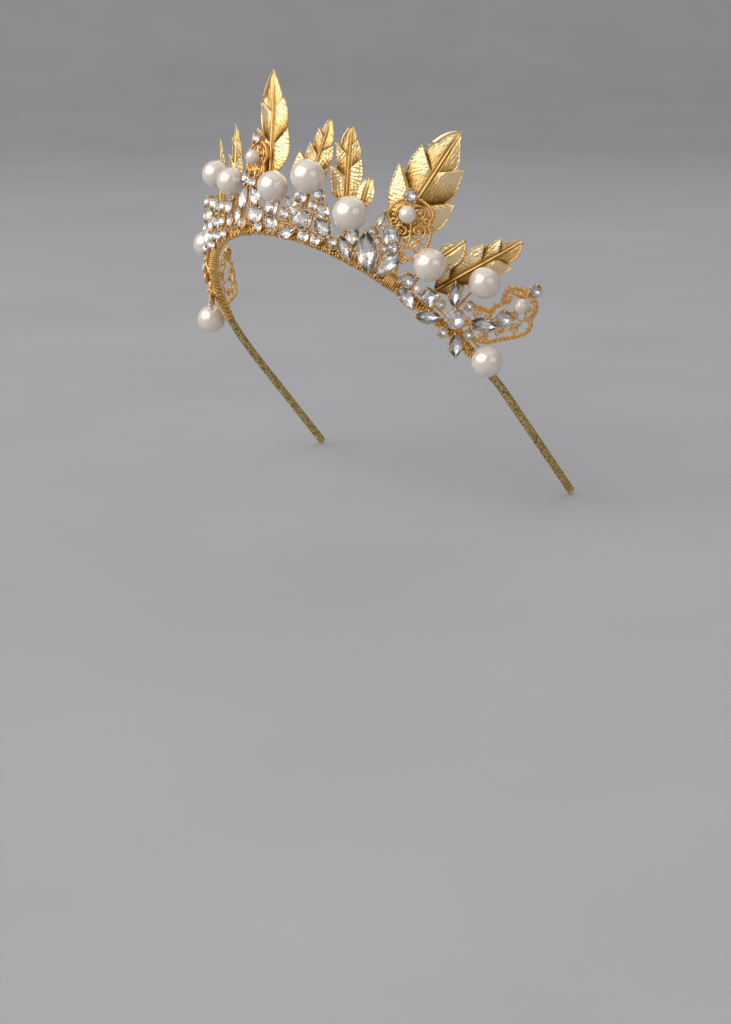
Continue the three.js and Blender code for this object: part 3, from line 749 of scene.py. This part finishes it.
for group, fused_stones in FUSED_STONES.items():
    shape = Shape()
    spots = []
    for name, cut, width, length, turn in HELD_STONES.get(group, []):
        s, h, _ = whereabouts(node_seat(name, turn)[:, 3])
        place = seat(s, h, STONE_LAYER, turn)
        stone(name + "_cut", cut, width, length, place, name)
        claw_setting(shape, cut, width, length, place)
        spots.append((s, h))
    for letter, (cut, width, length, turn, s, h) in zip(string.ascii_lowercase, fused_stones):
        yaw = (FAR_YAW if FAR_FROM < s < FAR_TO else 0) + draw.uniform(-TIP_SPREAD, TIP_SPREAD)
        place = tipped(seat(s, h, STONE_LAYER, turn), yaw, draw.uniform(-TIP_SPREAD, TIP_SPREAD))
        stone(f"crystal_small_{group}_{letter}", cut, width, length, place)
        claw_setting(shape, cut, width, length, place)
        spots.append((s, h))
    low_s, high_s = min(p[0] for p in spots) - 2, max(p[0] for p in spots) + 2
    run = np.linspace(low_s, high_s, max(4, round((high_s - low_s) / 3)))
    backbone = on_sheet([(s, BACKBONE_HEIGHT, FRAME_LAYER) for s in run])
    add_rope(shape, backbone, BACKBONE_STRAND, BACKBONE_PITCH)
    for s, h in spots:
        foot = s + draw.uniform(-FOOT_SPREAD, FOOT_SPREAD)
        sway = draw.uniform(-BEND_SPREAD, BEND_SPREAD)
        mid = ((s + foot) / 2 + sway, (h + BACKBONE_HEIGHT) / 2, WIRE_LAYER)
        ends = (foot, BACKBONE_HEIGHT, FRAME_LAYER - 0.3), mid, (s, h + 0.2, 1.9)
        shape.add(tube(curve(on_sheet(ends), 0.4), STAY_RADIUS, 7))
    for held in (p for p, owner in PEARL_FRAMES.items() if owner == group):
        s, h, q = whereabouts(pearl_facts(held)[0])
        if h < OVER_BAND:
            path = [(s, BACKBONE_HEIGHT, FRAME_LAYER), (s, h + 0.6, FRAME_LAYER + 1), (s, h, q)]
        else:
            path = [(s, 1.5, FRAME_LAYER), (s, BACKBONE_HEIGHT + 1.6, WIRE_LAYER),
                    (s, h - (q - WIRE_LAYER), WIRE_LAYER), (s, h, q)]
        add_rope(shape, on_sheet(path), STEM_STRAND, STEM_PITCH)
    shape.piece("claws_and_wires_" + group, [GOLD], "gold", "setting_" + group)


# ---- Pearls ----
PEARL_BORE = 0.6
PEARL_ROWS, PEARL_SIDES = 49, 64


def half_drilled(name, node, slope):
    """A pearl drilled from the back to just past its middle, where its wire is glued in."""
    centre, size = pearl_facts(node)
    radius, bore = size / 2, min(PEARL_BORE, size * 0.07)
    place = seat(*whereabouts(centre))
    start = math.asin(bore / radius)
    polar = np.linspace(start, math.pi - 0.02, PEARL_ROWS)
    profile = np.column_stack([np.sin(polar), -np.cos(polar)]) * radius
    blind = [(0.02, radius * 0.3), (bore, radius * 0.3), (bore, 0.0), (bore, -radius * 0.6)]
    profile = np.concatenate([blind, profile])
    turn = 2 * math.pi * np.arange(PEARL_SIDES) / PEARL_SIDES
    rings = np.stack([np.outer(profile[:, 0], np.cos(turn)), np.outer(profile[:, 1], np.ones(PEARL_SIDES)),
                      np.outer(profile[:, 0], np.sin(turn))], -1)
    c, w = math.cos(slope), math.sin(slope)
    tilt = np.array([[1, 0, 0], [0, c, -w], [0, w, c]])
    points, faces = skin(rings @ tilt.T)
    return Shape().add((put(points, place), faces)).piece(name, [PEARL], "pearl", node)


SMALL_PEARLS = (
    "pearl_small_centre", "pearl_small_temple", "pearl_small_side", "pearl_small_far_side", "pearl_seed")
for node_name in sorted(PEARL_FRAMES):
    over_band = whereabouts(pearl_facts(node_name)[0])[1] < OVER_BAND
    half_drilled(node_name + "_bead", node_name, math.pi / 2 if over_band else math.pi / 4)
for node_name in SMALL_PEARLS:
    half_drilled(node_name + "_bead", node_name, math.pi / 2)


# ---- Leaves ----
LEAF_SKIN = 0.34
SHARES = 39
OUTLINE_STEP = 0.3
VEIN_SLOPE = 0.8
BEND_POWER = 1.5
STALK_RADIUS = 0.45
# The strip outside this share of each rib rolls over on the end blade, by CURL_TURN radians.
STRIP_START, CURL_TURN, STRIP_STRETCH, STRIP_SPREAD = 0.62, 2.7, 0.226, 0.27
# Relief: domes over the lobes, a midrib with a groove beside it, the folds between lobes and the rim.
DOME_HEIGHT, DOME_LEVEL, DOME_REACH = 1.25, 0.35, 7
MIDRIB_HEIGHT, MIDRIB_WIDTH = 0.34, 0.24
GROOVE_DEPTH, GROOVE_PLACE, GROOVE_WIDTH = 0.16, 0.6, 0.28
FOLD_HEIGHT, RIM_HEIGHT, RIM_WIDTH = 0.28, 0.30, 0.32
COARSE_PITCH, FINE_PITCH, RIPPLE_PITCH = 2.9, 1.25, 1.6

# Half outlines (x, y) from the foot of the blade to its tip. A third value marks the sharp points: each
# lobe's tip (1) and the notch above it (0).
LEAVES = {
    "leaf_centre": dict(
        stalk=11, curl=-1, bend=3.5, sweep=0,
        right=[(0.7, 0), (1.4, 4.5), (5.4, 8), (8.3, 12), (8.9, 16), (8.4, 20.8, 1), (4.9, 19.8, 0),
               (6.8, 22.8), (7.2, 27), (6.2, 32.2, 1), (4.4, 30.4, 0), (4.1, 33.6), (2.3, 38)],
        left=[(0.7, 0), (1.4, 5), (5.6, 8.5), (8.2, 13), (8.7, 18), (8.3, 22.8, 1), (5.0, 20.4, 0),
              (6.6, 23.6), (6.9, 27.6), (6.1, 31.8, 1), (3.7, 29.8, 0), (4.8, 32.6), (4.1, 35.6),
              (2.2, 39.2)]),
    "leaf_front_small": dict(
        stalk=11, curl=1, bend=0.8, sweep=0,
        right=[(0.7, 0), (1.8, 3), (4.7, 7), (5.4, 11.4, 1), (3.8, 11, 0), (5.0, 13.4), (5.2, 16),
               (4.8, 19, 1), (2.6, 18.4, 0), (3.4, 20.4), (3.2, 23), (1.6, 26)],
        left=[(0.7, 0), (3.6, 1.6), (8.4, 4.4), (9.7, 8.4), (8.3, 14, 1), (6.0, 11.4, 0), (6.0, 14),
              (5.0, 18, 1), (3.7, 17, 0), (4.0, 20), (3.4, 23.4, 1), (2.1, 22.6, 0), (1.9, 24.8),
              (0.8, 26.8)]),
    "leaf_front": dict(
        stalk=10, curl=-1, bend=0.8, sweep=-0.4,
        right=[(0.7, 0), (1.6, 4.6), (4.4, 9), (5.4, 14), (4.9, 18.8, 1), (3.1, 17.6, 0), (4.0, 21),
               (2.9, 25.3, 1), (1.7, 24.4, 0), (1.9, 26.6), (1.0, 28.8)],
        left=[(0.7, 0), (1.6, 4), (5.0, 6.2), (6.2, 10), (6.6, 16, 1), (4.5, 15.8, 0), (4.7, 19),
              (5.4, 24, 1), (3.0, 22.2, 0), (3.2, 24.4), (2.8, 26.4), (1.4, 28.8)]),
    "leaf_gap": dict(
        stalk=10, curl=1, bend=0.5, sweep=-0.5,
        right=[(0.6, 0), (1.4, 3.4), (2.9, 6.6), (3.0, 9.4), (1.9, 12.2)],
        left=[(0.6, 0), (1.4, 3.2), (2.9, 6.8), (3.1, 9.8), (2.0, 12.4)]),
    "leaf_temple_large": dict(
        stalk=11, curl=-1, bend=1.2, sweep=0,
        right=[(0.7, 0), (3.0, 2.6), (9.8, 8), (12.3, 13), (11.7, 19.9, 1), (8.3, 19.0, 0), (9.8, 22.4),
               (9.2, 26.8), (7.9, 31.9, 1), (4.8, 29.2, 0), (5.3, 31.8), (4.1, 34.8), (1.8, 38.6)],
        left=[(0.7, 0), (3.2, 3.4), (8.4, 9.4), (10.9, 14.6), (12.1, 21.6, 1), (8.0, 19.8, 0), (9.5, 23.6),
              (9.5, 27.2), (8.9, 31.2, 1), (5.8, 29.3, 0), (6.8, 32), (5.8, 35.6), (3.7, 39.2)]),
    "leaf_temple_small": dict(
        stalk=9, curl=1, bend=0.5, sweep=0,
        right=[(0.6, 0), (3.4, 3.4), (5.1, 7.4), (4.8, 10.6), (3.2, 13.2)],
        left=[(0.6, 0), (1.9, 3.4), (2.8, 7), (2.6, 10), (1.5, 13)]),
    "leaf_side": dict(
        stalk=4, curl=1, bend=1.0, sweep=0,
        right=[(0.7, 0), (3.4, 2.6), (5.2, 6.4), (5.0, 9.6, 1), (3.0, 9.0, 0), (5.9, 14), (7.0, 20),
               (6.4, 26.2, 1), (3.6, 25.8, 0), (4.2, 28.6), (2.6, 31.6)],
        left=[(0.7, 0), (3.0, 2.4), (5.0, 5.6), (5.2, 8.8, 1), (3.2, 8.2, 0), (5.4, 11.8), (6.6, 15.4),
              (6.3, 18.8), (6.0, 22.2, 1), (4.3, 21.6, 0), (5.0, 24.4), (4.7, 28, 1), (2.4, 27.2, 0),
              (2.6, 29.4), (1.6, 31.8)]),
    "leaf_far_front": dict(
        stalk=10, curl=0, bend=3.2, sweep=0,
        right=[(0.7, 0), (1.8, 3), (4.9, 7), (6.2, 11), (5.8, 16, 1), (4.0, 15, 0), (4.6, 18), (3.8, 22, 1),
               (2.4, 21, 0), (2.4, 23.6)],
        left=[(0.7, 0), (1.8, 3), (5.2, 7.4), (6.4, 12), (5.4, 17, 1), (3.8, 15.8, 0), (4.2, 19),
              (3.4, 23, 1), (2.0, 22, 0), (1.8, 24.4)]),
    "leaf_far_temple": dict(
        stalk=10, curl=0, bend=1.6, sweep=0,
        right=[(0.7, 0), (2.0, 3), (5.4, 7), (6.8, 12), (6.2, 17.4, 1), (4.2, 16.4, 0), (4.8, 19.4),
               (4.0, 23.6, 1), (2.4, 22.4, 0), (2.4, 25.2)],
        left=[(0.7, 0), (2.0, 3), (5.0, 6.6), (6.6, 11), (6.4, 16, 1), (4.4, 15, 0), (5.0, 18.6),
              (4.4, 22.6, 1), (2.8, 21.6, 0), (2.4, 25)]),
    "leaf_far_side": dict(
        stalk=9, curl=0, bend=0.8, sweep=0,
        right=[(0.7, 0), (1.8, 2.4), (4.8, 5.6), (6.0, 9), (5.6, 13.4, 1), (3.6, 12.4, 0), (4.2, 15),
               (3.4, 18, 1), (2.0, 17, 0), (1.9, 19)],
        left=[(0.7, 0), (1.8, 2.4), (4.9, 6), (6.1, 10), (5.2, 14.6, 1), (3.4, 13.4, 0), (3.8, 16),
              (2.2, 19)]),
}


def half_outline(knots, length):
    """Edge points of one half, and how far each row is a lobe's rib (1) or the fold between lobes (0)."""
    knots = [*knots, (0.0, length, 1)]
    runs, start = [], 0
    for i, knot in enumerate(knots):
        if len(knot) == 3:
            runs.append((knots[start : i + 1], knot[2]))
            start = i
    edge, kind, before = [np.array([knots[0][:2]], float)], [np.zeros(1)], 0
    for run, target in runs:
        points = [(x, y, 0.0) for x, y, *_ in run]
        made = curve(points, OUTLINE_STEP)[1:, :2]
        share = np.linspace(0, 1, len(made) + 1)[1:] ** (0.4 if run[-1] == knots[-1] else 1)
        edge.append(made)
        kind.append(before + (target - before) * share)
        before = target
    edge, kind = np.concatenate(edge), np.concatenate(kind)
    travelled = np.concatenate([[0], np.cumsum(np.linalg.norm(np.diff(edge, axis=0), axis=1))])
    rib = np.maximum.accumulate(np.maximum(edge[:, 1] - VEIN_SLOPE * edge[:, 0], 0)) + 0.02 * travelled
    rib = rib / rib[-1] * length
    return edge, kind, rib, travelled


def smooth_step(low, high, x):
    p = np.clip((x - low) / (high - low), 0, 1)
    return p * p * (3 - 2 * p)


def blade_sheet(length, facts):
    """Points of the blade's front, row by row, with the relief stamped into it."""
    sides = {side: half_outline(facts[side], length) for side in ("left", "right")}
    ribs = np.unique(np.round(np.concatenate([made[2] for made in sides.values()]), 4))
    ribs = ribs[np.concatenate([[True], np.diff(ribs) > 0.012])]
    share = np.linspace(0, 1, SHARES)[None]
    halves = {}
    for side, (edge, kind, rib, travelled) in sides.items():
        ex = np.interp(ribs, rib, edge[:, 0])[:, None]
        ey = np.interp(ribs, rib, edge[:, 1])[:, None]
        crest = np.interp(ribs, rib, kind)[:, None]
        foot = ribs[:, None]
        fan = foot * (1 - share) + np.interp(ribs, rib, travelled)[:, None] * share
        reach = np.hypot(ex, ey - foot)
        lips = smooth_step(0.62, 0.72, foot / length) * (1 - smooth_step(0.95, 1.0, foot / length))
        curled = (facts["curl"] < 0) == (side == "left")
        lip = lips * curled * abs(facts["curl"])
        strip = np.clip((share - STRIP_START) / (1 - STRIP_START), 0, 1) * np.ones_like(foot)
        angle = CURL_TURN * lip + 1e-3
        rolled = (1 - STRIP_START + STRIP_SPREAD * lip) / angle
        flat = np.minimum(share, STRIP_START) * (1 + STRIP_STRETCH * lip)
        u = flat + rolled * np.sin(angle * strip)
        lift = 0.45 * rolled * reach * (1 - np.cos(angle * strip))
        x = ex * u
        y = foot + (ey - foot) * u**1.1
        out = smooth_step(0.05, 0.35, share)
        arch = np.sin(math.pi * share * 0.62) * np.minimum(reach / DOME_REACH, 1) * out
        domed = DOME_HEIGHT * (crest - DOME_LEVEL) * arch
        midrib = MIDRIB_HEIGHT * np.exp(-((x / MIDRIB_WIDTH) ** 2)) * (1 - 0.4 * foot / length)
        midrib = midrib - GROOVE_DEPTH * np.exp(-(((x - GROOVE_PLACE) / GROOVE_WIDTH) ** 2))
        vein = FOLD_HEIGHT * np.exp(-(((1 - crest) * 6) ** 2)) * out
        wander = 1.1 * np.sin(0.9 * fan + 4.0 * share) + 0.8 * np.sin(1.7 * fan - 1.1 * share * reach)
        streaks = np.sin(2 * math.pi * fan / FINE_PITCH + wander)
        streaks = streaks + 0.8 * np.sin(2 * math.pi * fan / COARSE_PITCH - 1.7 * wander)
        ripples = np.sin(2 * math.pi * (share * reach / RIPPLE_PITCH + 1.6 * (1 - crest)) + wander)
        fine = (0.055 * streaks + 0.035 * ripples) * out * smooth_step(0, 3, reach) * (1 - strip * lip)
        rim = RIM_HEIGHT * np.exp(-(((1 - share) * reach / RIM_WIDTH) ** 2)) * (1 - lip)
        relief = domed + midrib + vein + fine + rim
        t = np.clip(y / length, 0, 1.05)
        bent = facts["bend"] * t**BEND_POWER
        z = relief - 0.18 * x + lift + bent + 0.5 * np.sin(math.pi * np.minimum(t, 1))
        x = x + facts["sweep"] * np.sin(math.pi * np.minimum(t, 1) * 0.8) * (1 if side == "right" else -1)
        halves[side] = (x, y, z, relief, strip * lip)
    left, right = (np.stack(halves[side], -1) for side in ("left", "right"))
    whole = np.concatenate([left[:, :0:-1] * [-1, 1, 1, 1, 1], right], axis=1)
    return whole[..., :3], whole[..., 3], whole[..., 4]


def leaf(name, facts):
    """A stamped plate between the foot and the tip of its CAD node, on a round stalk."""
    points = cad_points(name)
    s0, _, _ = whereabouts(points.mean(0))
    origin, along, rise, face = (part[0] for part in axes(s0))
    height = (points - origin) @ rise
    foot = points[height < height.min() + 0.7].mean(0)
    tip = points[height > height.max() - 0.5].mean(0)
    tip = tip - face * ((tip - origin) @ face - (foot - origin) @ face)
    up = unit(tip - foot)
    base = foot + up * facts["stalk"]
    length = np.linalg.norm(tip - base)
    out = unit(face - up * (face @ up))
    place = np.column_stack([np.cross(up, out), up, out, base])
    rows, relief, rolled = blade_sheet(length, facts)
    ahead = np.gradient(rows, axis=0)
    beside = np.gradient(rows, axis=1)
    normal = np.cross(beside, ahead)
    normal /= np.maximum(np.linalg.norm(normal, axis=-1, keepdims=True), 1e-9)
    normal = np.where(normal[..., 2:] == 0, [0, 0, 1.0], normal)
    back = rows - LEAF_SKIN * unit(normal + [0, 0, 0.35] * np.maximum(normal[..., 2:], 0))
    rings = np.concatenate([rows, back[:, ::-1]], axis=1)
    # Painted shade: the leaf's colour darkens towards its foot.
    foot_shade = smooth_step(0, 0.42, rows[..., 1] / length)
    # Painted shade and highlight: the relief darkens the hollows and brightens the ridges.
    shade = np.clip(0.17 + 0.23 * foot_shade + relief * 1.25, 0, 1)
    # The back carries the front's painted shade dimmed to 0.6, with a painted highlight along the rolled
    # lip.
    shade = np.concatenate([shade, (shade * 0.6 + smooth_step(0.1, 0.5, rolled) * 0.5)[:, ::-1]], axis=1)
    note = np.stack([rings[..., 0], rings[..., 1], shade], -1).reshape(-1, 3)
    sheet, faces = skin(rings)
    shape = Shape().add((put(sheet, place), faces), note=note)
    line = [(0, -facts["stalk"] + 0.3, 0.1), (0, -3, 0.1), (0, 0.4, 0.1), (0, 3.0, 0.2)]
    stalk, its_faces = tube(curve(line, 0.5), STALK_RADIUS)
    shape.add((put(stalk, place), its_faces), note=(0, 0, 0.5))
    return shape.piece(name + "_blade", [ANTIQUE], "antique_gold", name)


for leaf_name, leaf_facts in LEAVES.items():
    leaf(leaf_name, leaf_facts)


# ---- Filigree ----
SCROLL_ROPE_PITCH = 1.4
SCROLL_STEPS, SCROLL_RISE = 40, 0.35
BEAD_RADIUS = 0.58
# Beads on each half of a scroll filigree, as shares of its width and height.
BEAD_PLACES = (
    (0.52, 0.36), (0.30, 1.0), (0.12, 0.42), (0.5, -0.12), (0.34, 0.5), (0.26, -0.02), (0.16, 0.86))


def scroll(centre, outer, inner, turns, start, hand):
    """A spiral that rises a little towards its middle."""
    share = np.linspace(0, 1, SCROLL_STEPS)
    radius = outer + (inner - outer) * share
    angle = start + hand * share * turns * 2 * math.pi
    x, y = centre[0] + radius * np.cos(angle), centre[1] + radius * np.sin(angle)
    return np.column_stack([x, y, SCROLL_RISE * share])


def add_wire(shape, points, radius, place):
    made = tube(curve(points, 0.3), radius)
    shape.add((put(made[0], place), made[1]))


def add_roped(shape, points, place, looped=False, strand=0.34):
    for made in rope(points, strand, SCROLL_ROPE_PITCH, looped):
        shape.add((put(made[0], place), made[1]))


def stud(shape, name, x, y, size, place):
    """A small claw-set stone at the top of a filigree piece."""
    here = place.copy()
    here[:, 3] = put((x, y, 1.9), place)
    claw_setting(shape, "round", size, size, here)
    stone(name, "round", size, size, here)


def scroll_filigree(node, turn, size, stone_name, width, height, stalk, foot):
    """Paired scrolls up a stalk, with roped outer loops, beads and a stone at the top."""
    place = seat(*SCROLL_PLACES[node], turn)
    shape = Shape()
    curl = width * 0.23
    stem = [(foot, -stalk, 0), (foot * 0.7, -stalk * 0.5, 0), (0, 0, 0.1), (0, height, 0.2)]
    add_wire(shape, stem, 0.46, place)
    for hand in (-1, 1):
        start = math.pi if hand > 0 else 0
        rows = ((height * 0.66, curl, 0.55, -hand), (height * 0.2, curl * 1.1, 0.5, hand),
                (-height * 0.5, curl * 0.72, 0.4, hand))
        for y, big, small, way in rows:
            add_wire(shape, scroll((hand * curl, y), big, small, 1.6, start, way), 0.44, place)
            shape.add(ball(put((hand * curl, y, 0.5), place), 0.55))
        low_scroll = scroll((hand * curl * 0.9, -height * 0.24), curl * 0.9, 0.5, 1.5, start, -hand)
        add_wire(shape, low_scroll, 0.42, place)
        wide_scroll = scroll((hand * curl * 1.9, height * 0.44), curl * 0.62, 0.4, 1.3, start, hand)
        add_wire(shape, wide_scroll, 0.38, place)
        outer = [(0.4, -height * 0.55, 0), (width * 0.40, -height * 0.3, 0),
                 (width * 0.56, height * 0.1, 0.1), (width * 0.50, height * 0.36, 0.1),
                 (width * 0.62, height * 0.62, 0.2), (width * 0.44, height * 0.90, 0.2),
                 (0.8, height * 1.08, 0.3)]
        add_roped(shape, [(hand * x, y, z) for x, y, z in outer], place)
        for x, y in BEAD_PLACES:
            shape.add(ball(put((hand * width * x, height * y, 0.4), place), BEAD_RADIUS))
    ring = scroll((0, height * 0.43), 3.0, 3.0, 1.0, 0, 1)[:-1] * (1, 1, 0)
    add_roped(shape, ring, place, looped=True, strand=0.22)
    stud(shape, stone_name, 0, height + 1.6, size, place)
    return shape.piece(node + "_scrolls", [GOLD], "gold", node)


# Side filigree on the wearer's left, as (s, h) on the sheet: twisted edges, then scrolls as (s, h), size,
# inner size and hand, then spines. The right one is its mirror.
SIDE_EDGES = [
    [(79, 1.6), (83, 3.0), (87, 4.6), (90.4, 6.8), (92.4, 10.2), (95.4, 14.6), (97.2, 19.0), (95.6, 22.2),
     (93.9, 22.0), (94.4, 24.2), (93.2, 26.4), (91.6, 27.9), (90.0, 27.2)],
    [(77.4, 12.0), (80.2, 13.4), (83.2, 15.0), (82.8, 17.4), (84.0, 19.2), (82.8, 22.0), (82.2, 25.0),
     (84.4, 27.0), (86.8, 28.6)],
    [(83.0, 24.6), (85.6, 25.4), (88.0, 27.4), (89.6, 29.0)],
]
SIDE_SCROLLS = [
    ((87.6, 7.4), 2.3, 0.6, 1), ((80.4, 11.6), 1.9, 0.5, -1), ((83.6, 13.4), 1.7, 0.5, 1),
    ((90.4, 12.4), 1.9, 0.5, -1), ((93.4, 16.8), 2.1, 0.5, 1), ((90.2, 19.4), 1.7, 0.5, -1),
    ((84.6, 21.6), 1.7, 0.5, 1), ((91.6, 24.4), 1.7, 0.5, -1), ((87.0, 26.4), 1.4, 0.4, 1),
    ((83.0, 7.0), 1.8, 0.5, -1), ((79.4, 6.4), 1.6, 0.5, 1),
]
SIDE_SPINES = [
    [(79.5, 3.6), (83, 9.4), (86.6, 15), (88.6, 21), (88.0, 29)],
    [(83, 9.4), (88.4, 10.6), (92.0, 14.6), (93.6, 20.0), (91.6, 24.4)],
]
LOOP_PITCH, LOOP_SIZE, LOOP_STEP = 1.7, 0.75, 0.16


def side_filigree(node, side, size, stone_name, stone_place):
    """Twisted edges with a row of small loops inside them, and scrolls soldered to a spine and the edges."""
    shape = Shape()
    for edge in SIDE_EDGES:
        for made in rope(on_sheet([(side * s, h, WIRE_LAYER - 0.2) for s, h in edge]), 0.29, 1.25):
            shape.add(made)
        run = curve([(s, h, 0.0) for s, h in edge], LOOP_STEP)
        turn = 2 * math.pi * np.arange(len(run)) * LOOP_STEP / LOOP_PITCH
        loops = run + LOOP_SIZE * np.column_stack([np.cos(turn), np.sin(turn), 0.25 * np.sin(turn)])
        shape.add(tube(on_sheet(loops * [side, 1, 1] + [0, 0, WIRE_LAYER]), 0.27, 7))
    for line in SIDE_SPINES:
        shape.add(tube(curve(on_sheet([(side * s, h, WIRE_LAYER - 0.4) for s, h in line]), 0.4), 0.34))
    joints = np.array([knot for line in SIDE_EDGES + SIDE_SPINES for knot in line])
    for (s, h), big, small, hand in SIDE_SCROLLS:
        place = seat(side * s, h, WIRE_LAYER - 0.2)
        add_wire(shape, scroll((0, 0), big, small, 1.4, hand * 1.2, hand * side), 0.31, place)
        shape.add(ball(put((0, 0, 0.5), place), 0.5))
        for joint in joints[np.argsort(np.hypot(*(joints - (s, h)).T))[:2]]:
            tie = [(side * s, h, WIRE_LAYER), (side * joint[0], joint[1], WIRE_LAYER - 0.2)]
            shape.add(tube(curve(on_sheet(tie), 0.4), 0.28))
    place = seat(side * stone_place[0], stone_place[1], 0.0)
    stud(shape, stone_name, 0, 0, size, place)
    return shape.piece(node + "_loops", [GOLD], "gold", node)


SCROLL_PLACES = {"filigree_centre": (-9.5, 19, 1.2), "filigree_temple": (48.6, 16.5, 1.2)}
scroll_filigree("filigree_centre", 0, 4.0, "crystal_small_stud_centre", 9.5, 11.5, 15, 0)
scroll_filigree("filigree_temple", -32, 4.4, "crystal_small_stud_temple", 12.5, 13, 12, -4.5)
side_filigree("filigree_side", 1, 4.4, "crystal_small_stud_side", (88.6, 30.6))
side_filigree("filigree_far_side", -1, 4.4, "crystal_small_stud_far_side", (87.6, 30.4))


# ---- Grainy binding wire round the band ----
WINDING_STEPS, WINDING_PITCH, GRAIN_STEPS = 34, 1.1, 5.3
LASHING_TURNS, LASHING_STEPS, LASHING_HALF, LASHING_RADIUS = 6, 16, 1.9, 0.21


def binding(name, start, end, pitch):
    """A coil of beaded wire close around the band."""
    count = round((end - start) / pitch)
    turn = 2 * math.pi * np.arange(count * WINDING_STEPS) / WINDING_STEPS
    at = np.arange(len(turn)) / WINDING_STEPS
    wander = np.interp(at, np.arange(count + 1), draw.uniform(-1, 1, count + 1))
    s = np.linspace(start, end, len(turn)) + 0.25 * pitch * wander
    points, _, out = stations(s)
    clear = 0.26 + 0.12 * wander
    width, depth = BAND_WIDTH / 2 + clear, BAND_THICKNESS / 2 + clear
    c, w = np.cos(turn), np.sin(turn)
    across = np.sign(c) * np.abs(c) ** 0.8 * width
    thick = np.sign(w) * np.abs(w) ** 0.8 * depth
    path = points + NORMAL * across[:, None] + out * thick[:, None]
    beads = 0.31 + 0.17 * np.sin(2 * math.pi * np.arange(len(path)) / GRAIN_STEPS)
    return Shape().add(tube(path, beads, 7)).piece(name, [GOLD], "gold")


for node_name in ("lashing_far", "lashing_centre", "lashing_front", "lashing_temple"):
    low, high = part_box(node_name)
    place_s = whereabouts(np.array((low + high) / 2) / MM)[0]
    turn = 2 * math.pi * np.arange(LASHING_TURNS * LASHING_STEPS) / LASHING_STEPS
    run = place_s + np.linspace(-LASHING_HALF, LASHING_HALF, len(turn))
    rim = np.column_stack([run, 0.9 + 3.0 * np.cos(turn), 0.5 + 2.2 * np.sin(turn)])
    made = Shape().add(tube(curve(on_sheet(rim), 0.3), LASHING_RADIUS, 7))
    made.piece(node_name + "_wire", [GOLD], "gold", node_name)
for part, (start, end) in enumerate([(-90, -45), (-45, 0.3), (0.3, 45), (45, 90)]):
    binding(f"binding_wire_{part}", start, end, WINDING_PITCH)


# ---- Floor, light and camera ----
# From here on, lengths are metres.
FLOOR_GAP = 0.0004
FLOOR_SIDES = 96
# The backdrop in section, from its middle outwards: radius and height.
BACKDROP = (
    (0.002, 0.0), (0.6, 0.0), (1.2, 0.0), (1.8, 0.0), (2.2, 0.05), (2.5, 0.18), (2.7, 0.42), (2.8, 0.8),
    (2.85, 1.6), (2.85, 3.2))
low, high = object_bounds()
floor_z = low.z - FLOOR_GAP


def backdrop():
    """A pale floor that curves up into a wall on all sides."""
    turn = 2 * math.pi * np.arange(FLOOR_SIDES) / FLOOR_SIDES
    circle = np.column_stack([np.cos(turn), np.sin(turn)])
    rings = [level(circle, radius, floor_z + height) for radius, height in BACKDROP]
    points, faces = skin(rings)
    mesh = bpy.data.meshes.new("studio_floor")
    mesh.from_pydata(points.tolist(), [], faces[:-1])
    for polygon in mesh.polygons:
        polygon.use_smooth = True
    paper = look("studio_paper", {})
    ramp(paper, noise(paper, 9, 4), [(0.3, (0.42, 0.42, 0.432)), (0.7, (0.45, 0.45, 0.462))])
    spread_roughness(paper, noise(paper, 40), 0.75, 0.9)
    mesh.materials.append(paper)
    made = bpy.data.objects.new("studio_floor", mesh)
    bpy.context.scene.collection.objects.link(made)


backdrop()
AIM = Vector((0.0, -0.035, 0.045))


def soft_light(name, direction, distance, size, power, colour=(1, 1, 1)):
    data = bpy.data.lights.new(name, "AREA")
    data.shape, data.size, data.size_y = "RECTANGLE", size[0], size[1]
    data.energy, data.color = power, colour
    made = bpy.data.objects.new(name, data)
    away = Vector(direction).normalized()
    made.location = AIM + away * distance
    made.rotation_euler = (-away).to_track_quat("-Z", "Y").to_euler()
    bpy.context.scene.collection.objects.link(made)


soft_light("window", (-0.25, -0.93, 0.5), 2.2, (3.77, 2.83), 64, (1.0, 0.985, 0.96))
soft_light("fill", (1.0, -0.1, 0.35), 1.8, (1.4, 1.0), 3.4, (1.0, 0.88, 0.76))
soft_light("back", (-0.25, 0.9, 0.9), 1.6, (1.4, 0.8), 3.0, (0.96, 0.98, 1.0))

world = bpy.data.worlds.new("studio")
bpy.context.scene.world = world
world.use_nodes = True
sky = world.node_tree
background = sky.nodes["Background"]
background.inputs["Strength"].default_value = 1.0
sky_place = sky.nodes.new("ShaderNodeTexCoord")
sky_height = sky.nodes.new("ShaderNodeSeparateXYZ")
sky_shade = sky.nodes.new("ShaderNodeValToRGB")
sky.links.new(sky_place.outputs["Generated"], sky_height.inputs["Vector"])
sky.links.new(sky_height.outputs["Z"], sky_shade.inputs["Fac"])
sky.links.new(sky_shade.outputs["Color"], background.inputs["Color"])
for element, (height, level_of_grey) in zip(sky_shade.color_ramp.elements, ((0.0, 0.26), (0.9, 0.66))):
    element.position = height
    element.color = (level_of_grey, level_of_grey, level_of_grey * 1.03, 1)
bpy.context.scene.view_settings.view_transform = "Standard"

CAMERA_PLACE, CAMERA_LENS = (0.5212, -0.5588, 0.1404), 72.46
CAMERA_DIP, CAMERA_YAW = 14.14, 43.31
camera_data = bpy.data.cameras.new("camera")
camera_data.lens = CAMERA_LENS
camera_data.sensor_width = 36
camera_data.clip_start, camera_data.clip_end = 0.02, 20
camera = bpy.data.objects.new("camera", camera_data)
camera.location = CAMERA_PLACE
camera.rotation_euler = (math.radians(90 - CAMERA_DIP), 0, math.radians(CAMERA_YAW))
bpy.context.scene.collection.objects.link(camera)
bpy.context.scene.camera = camera
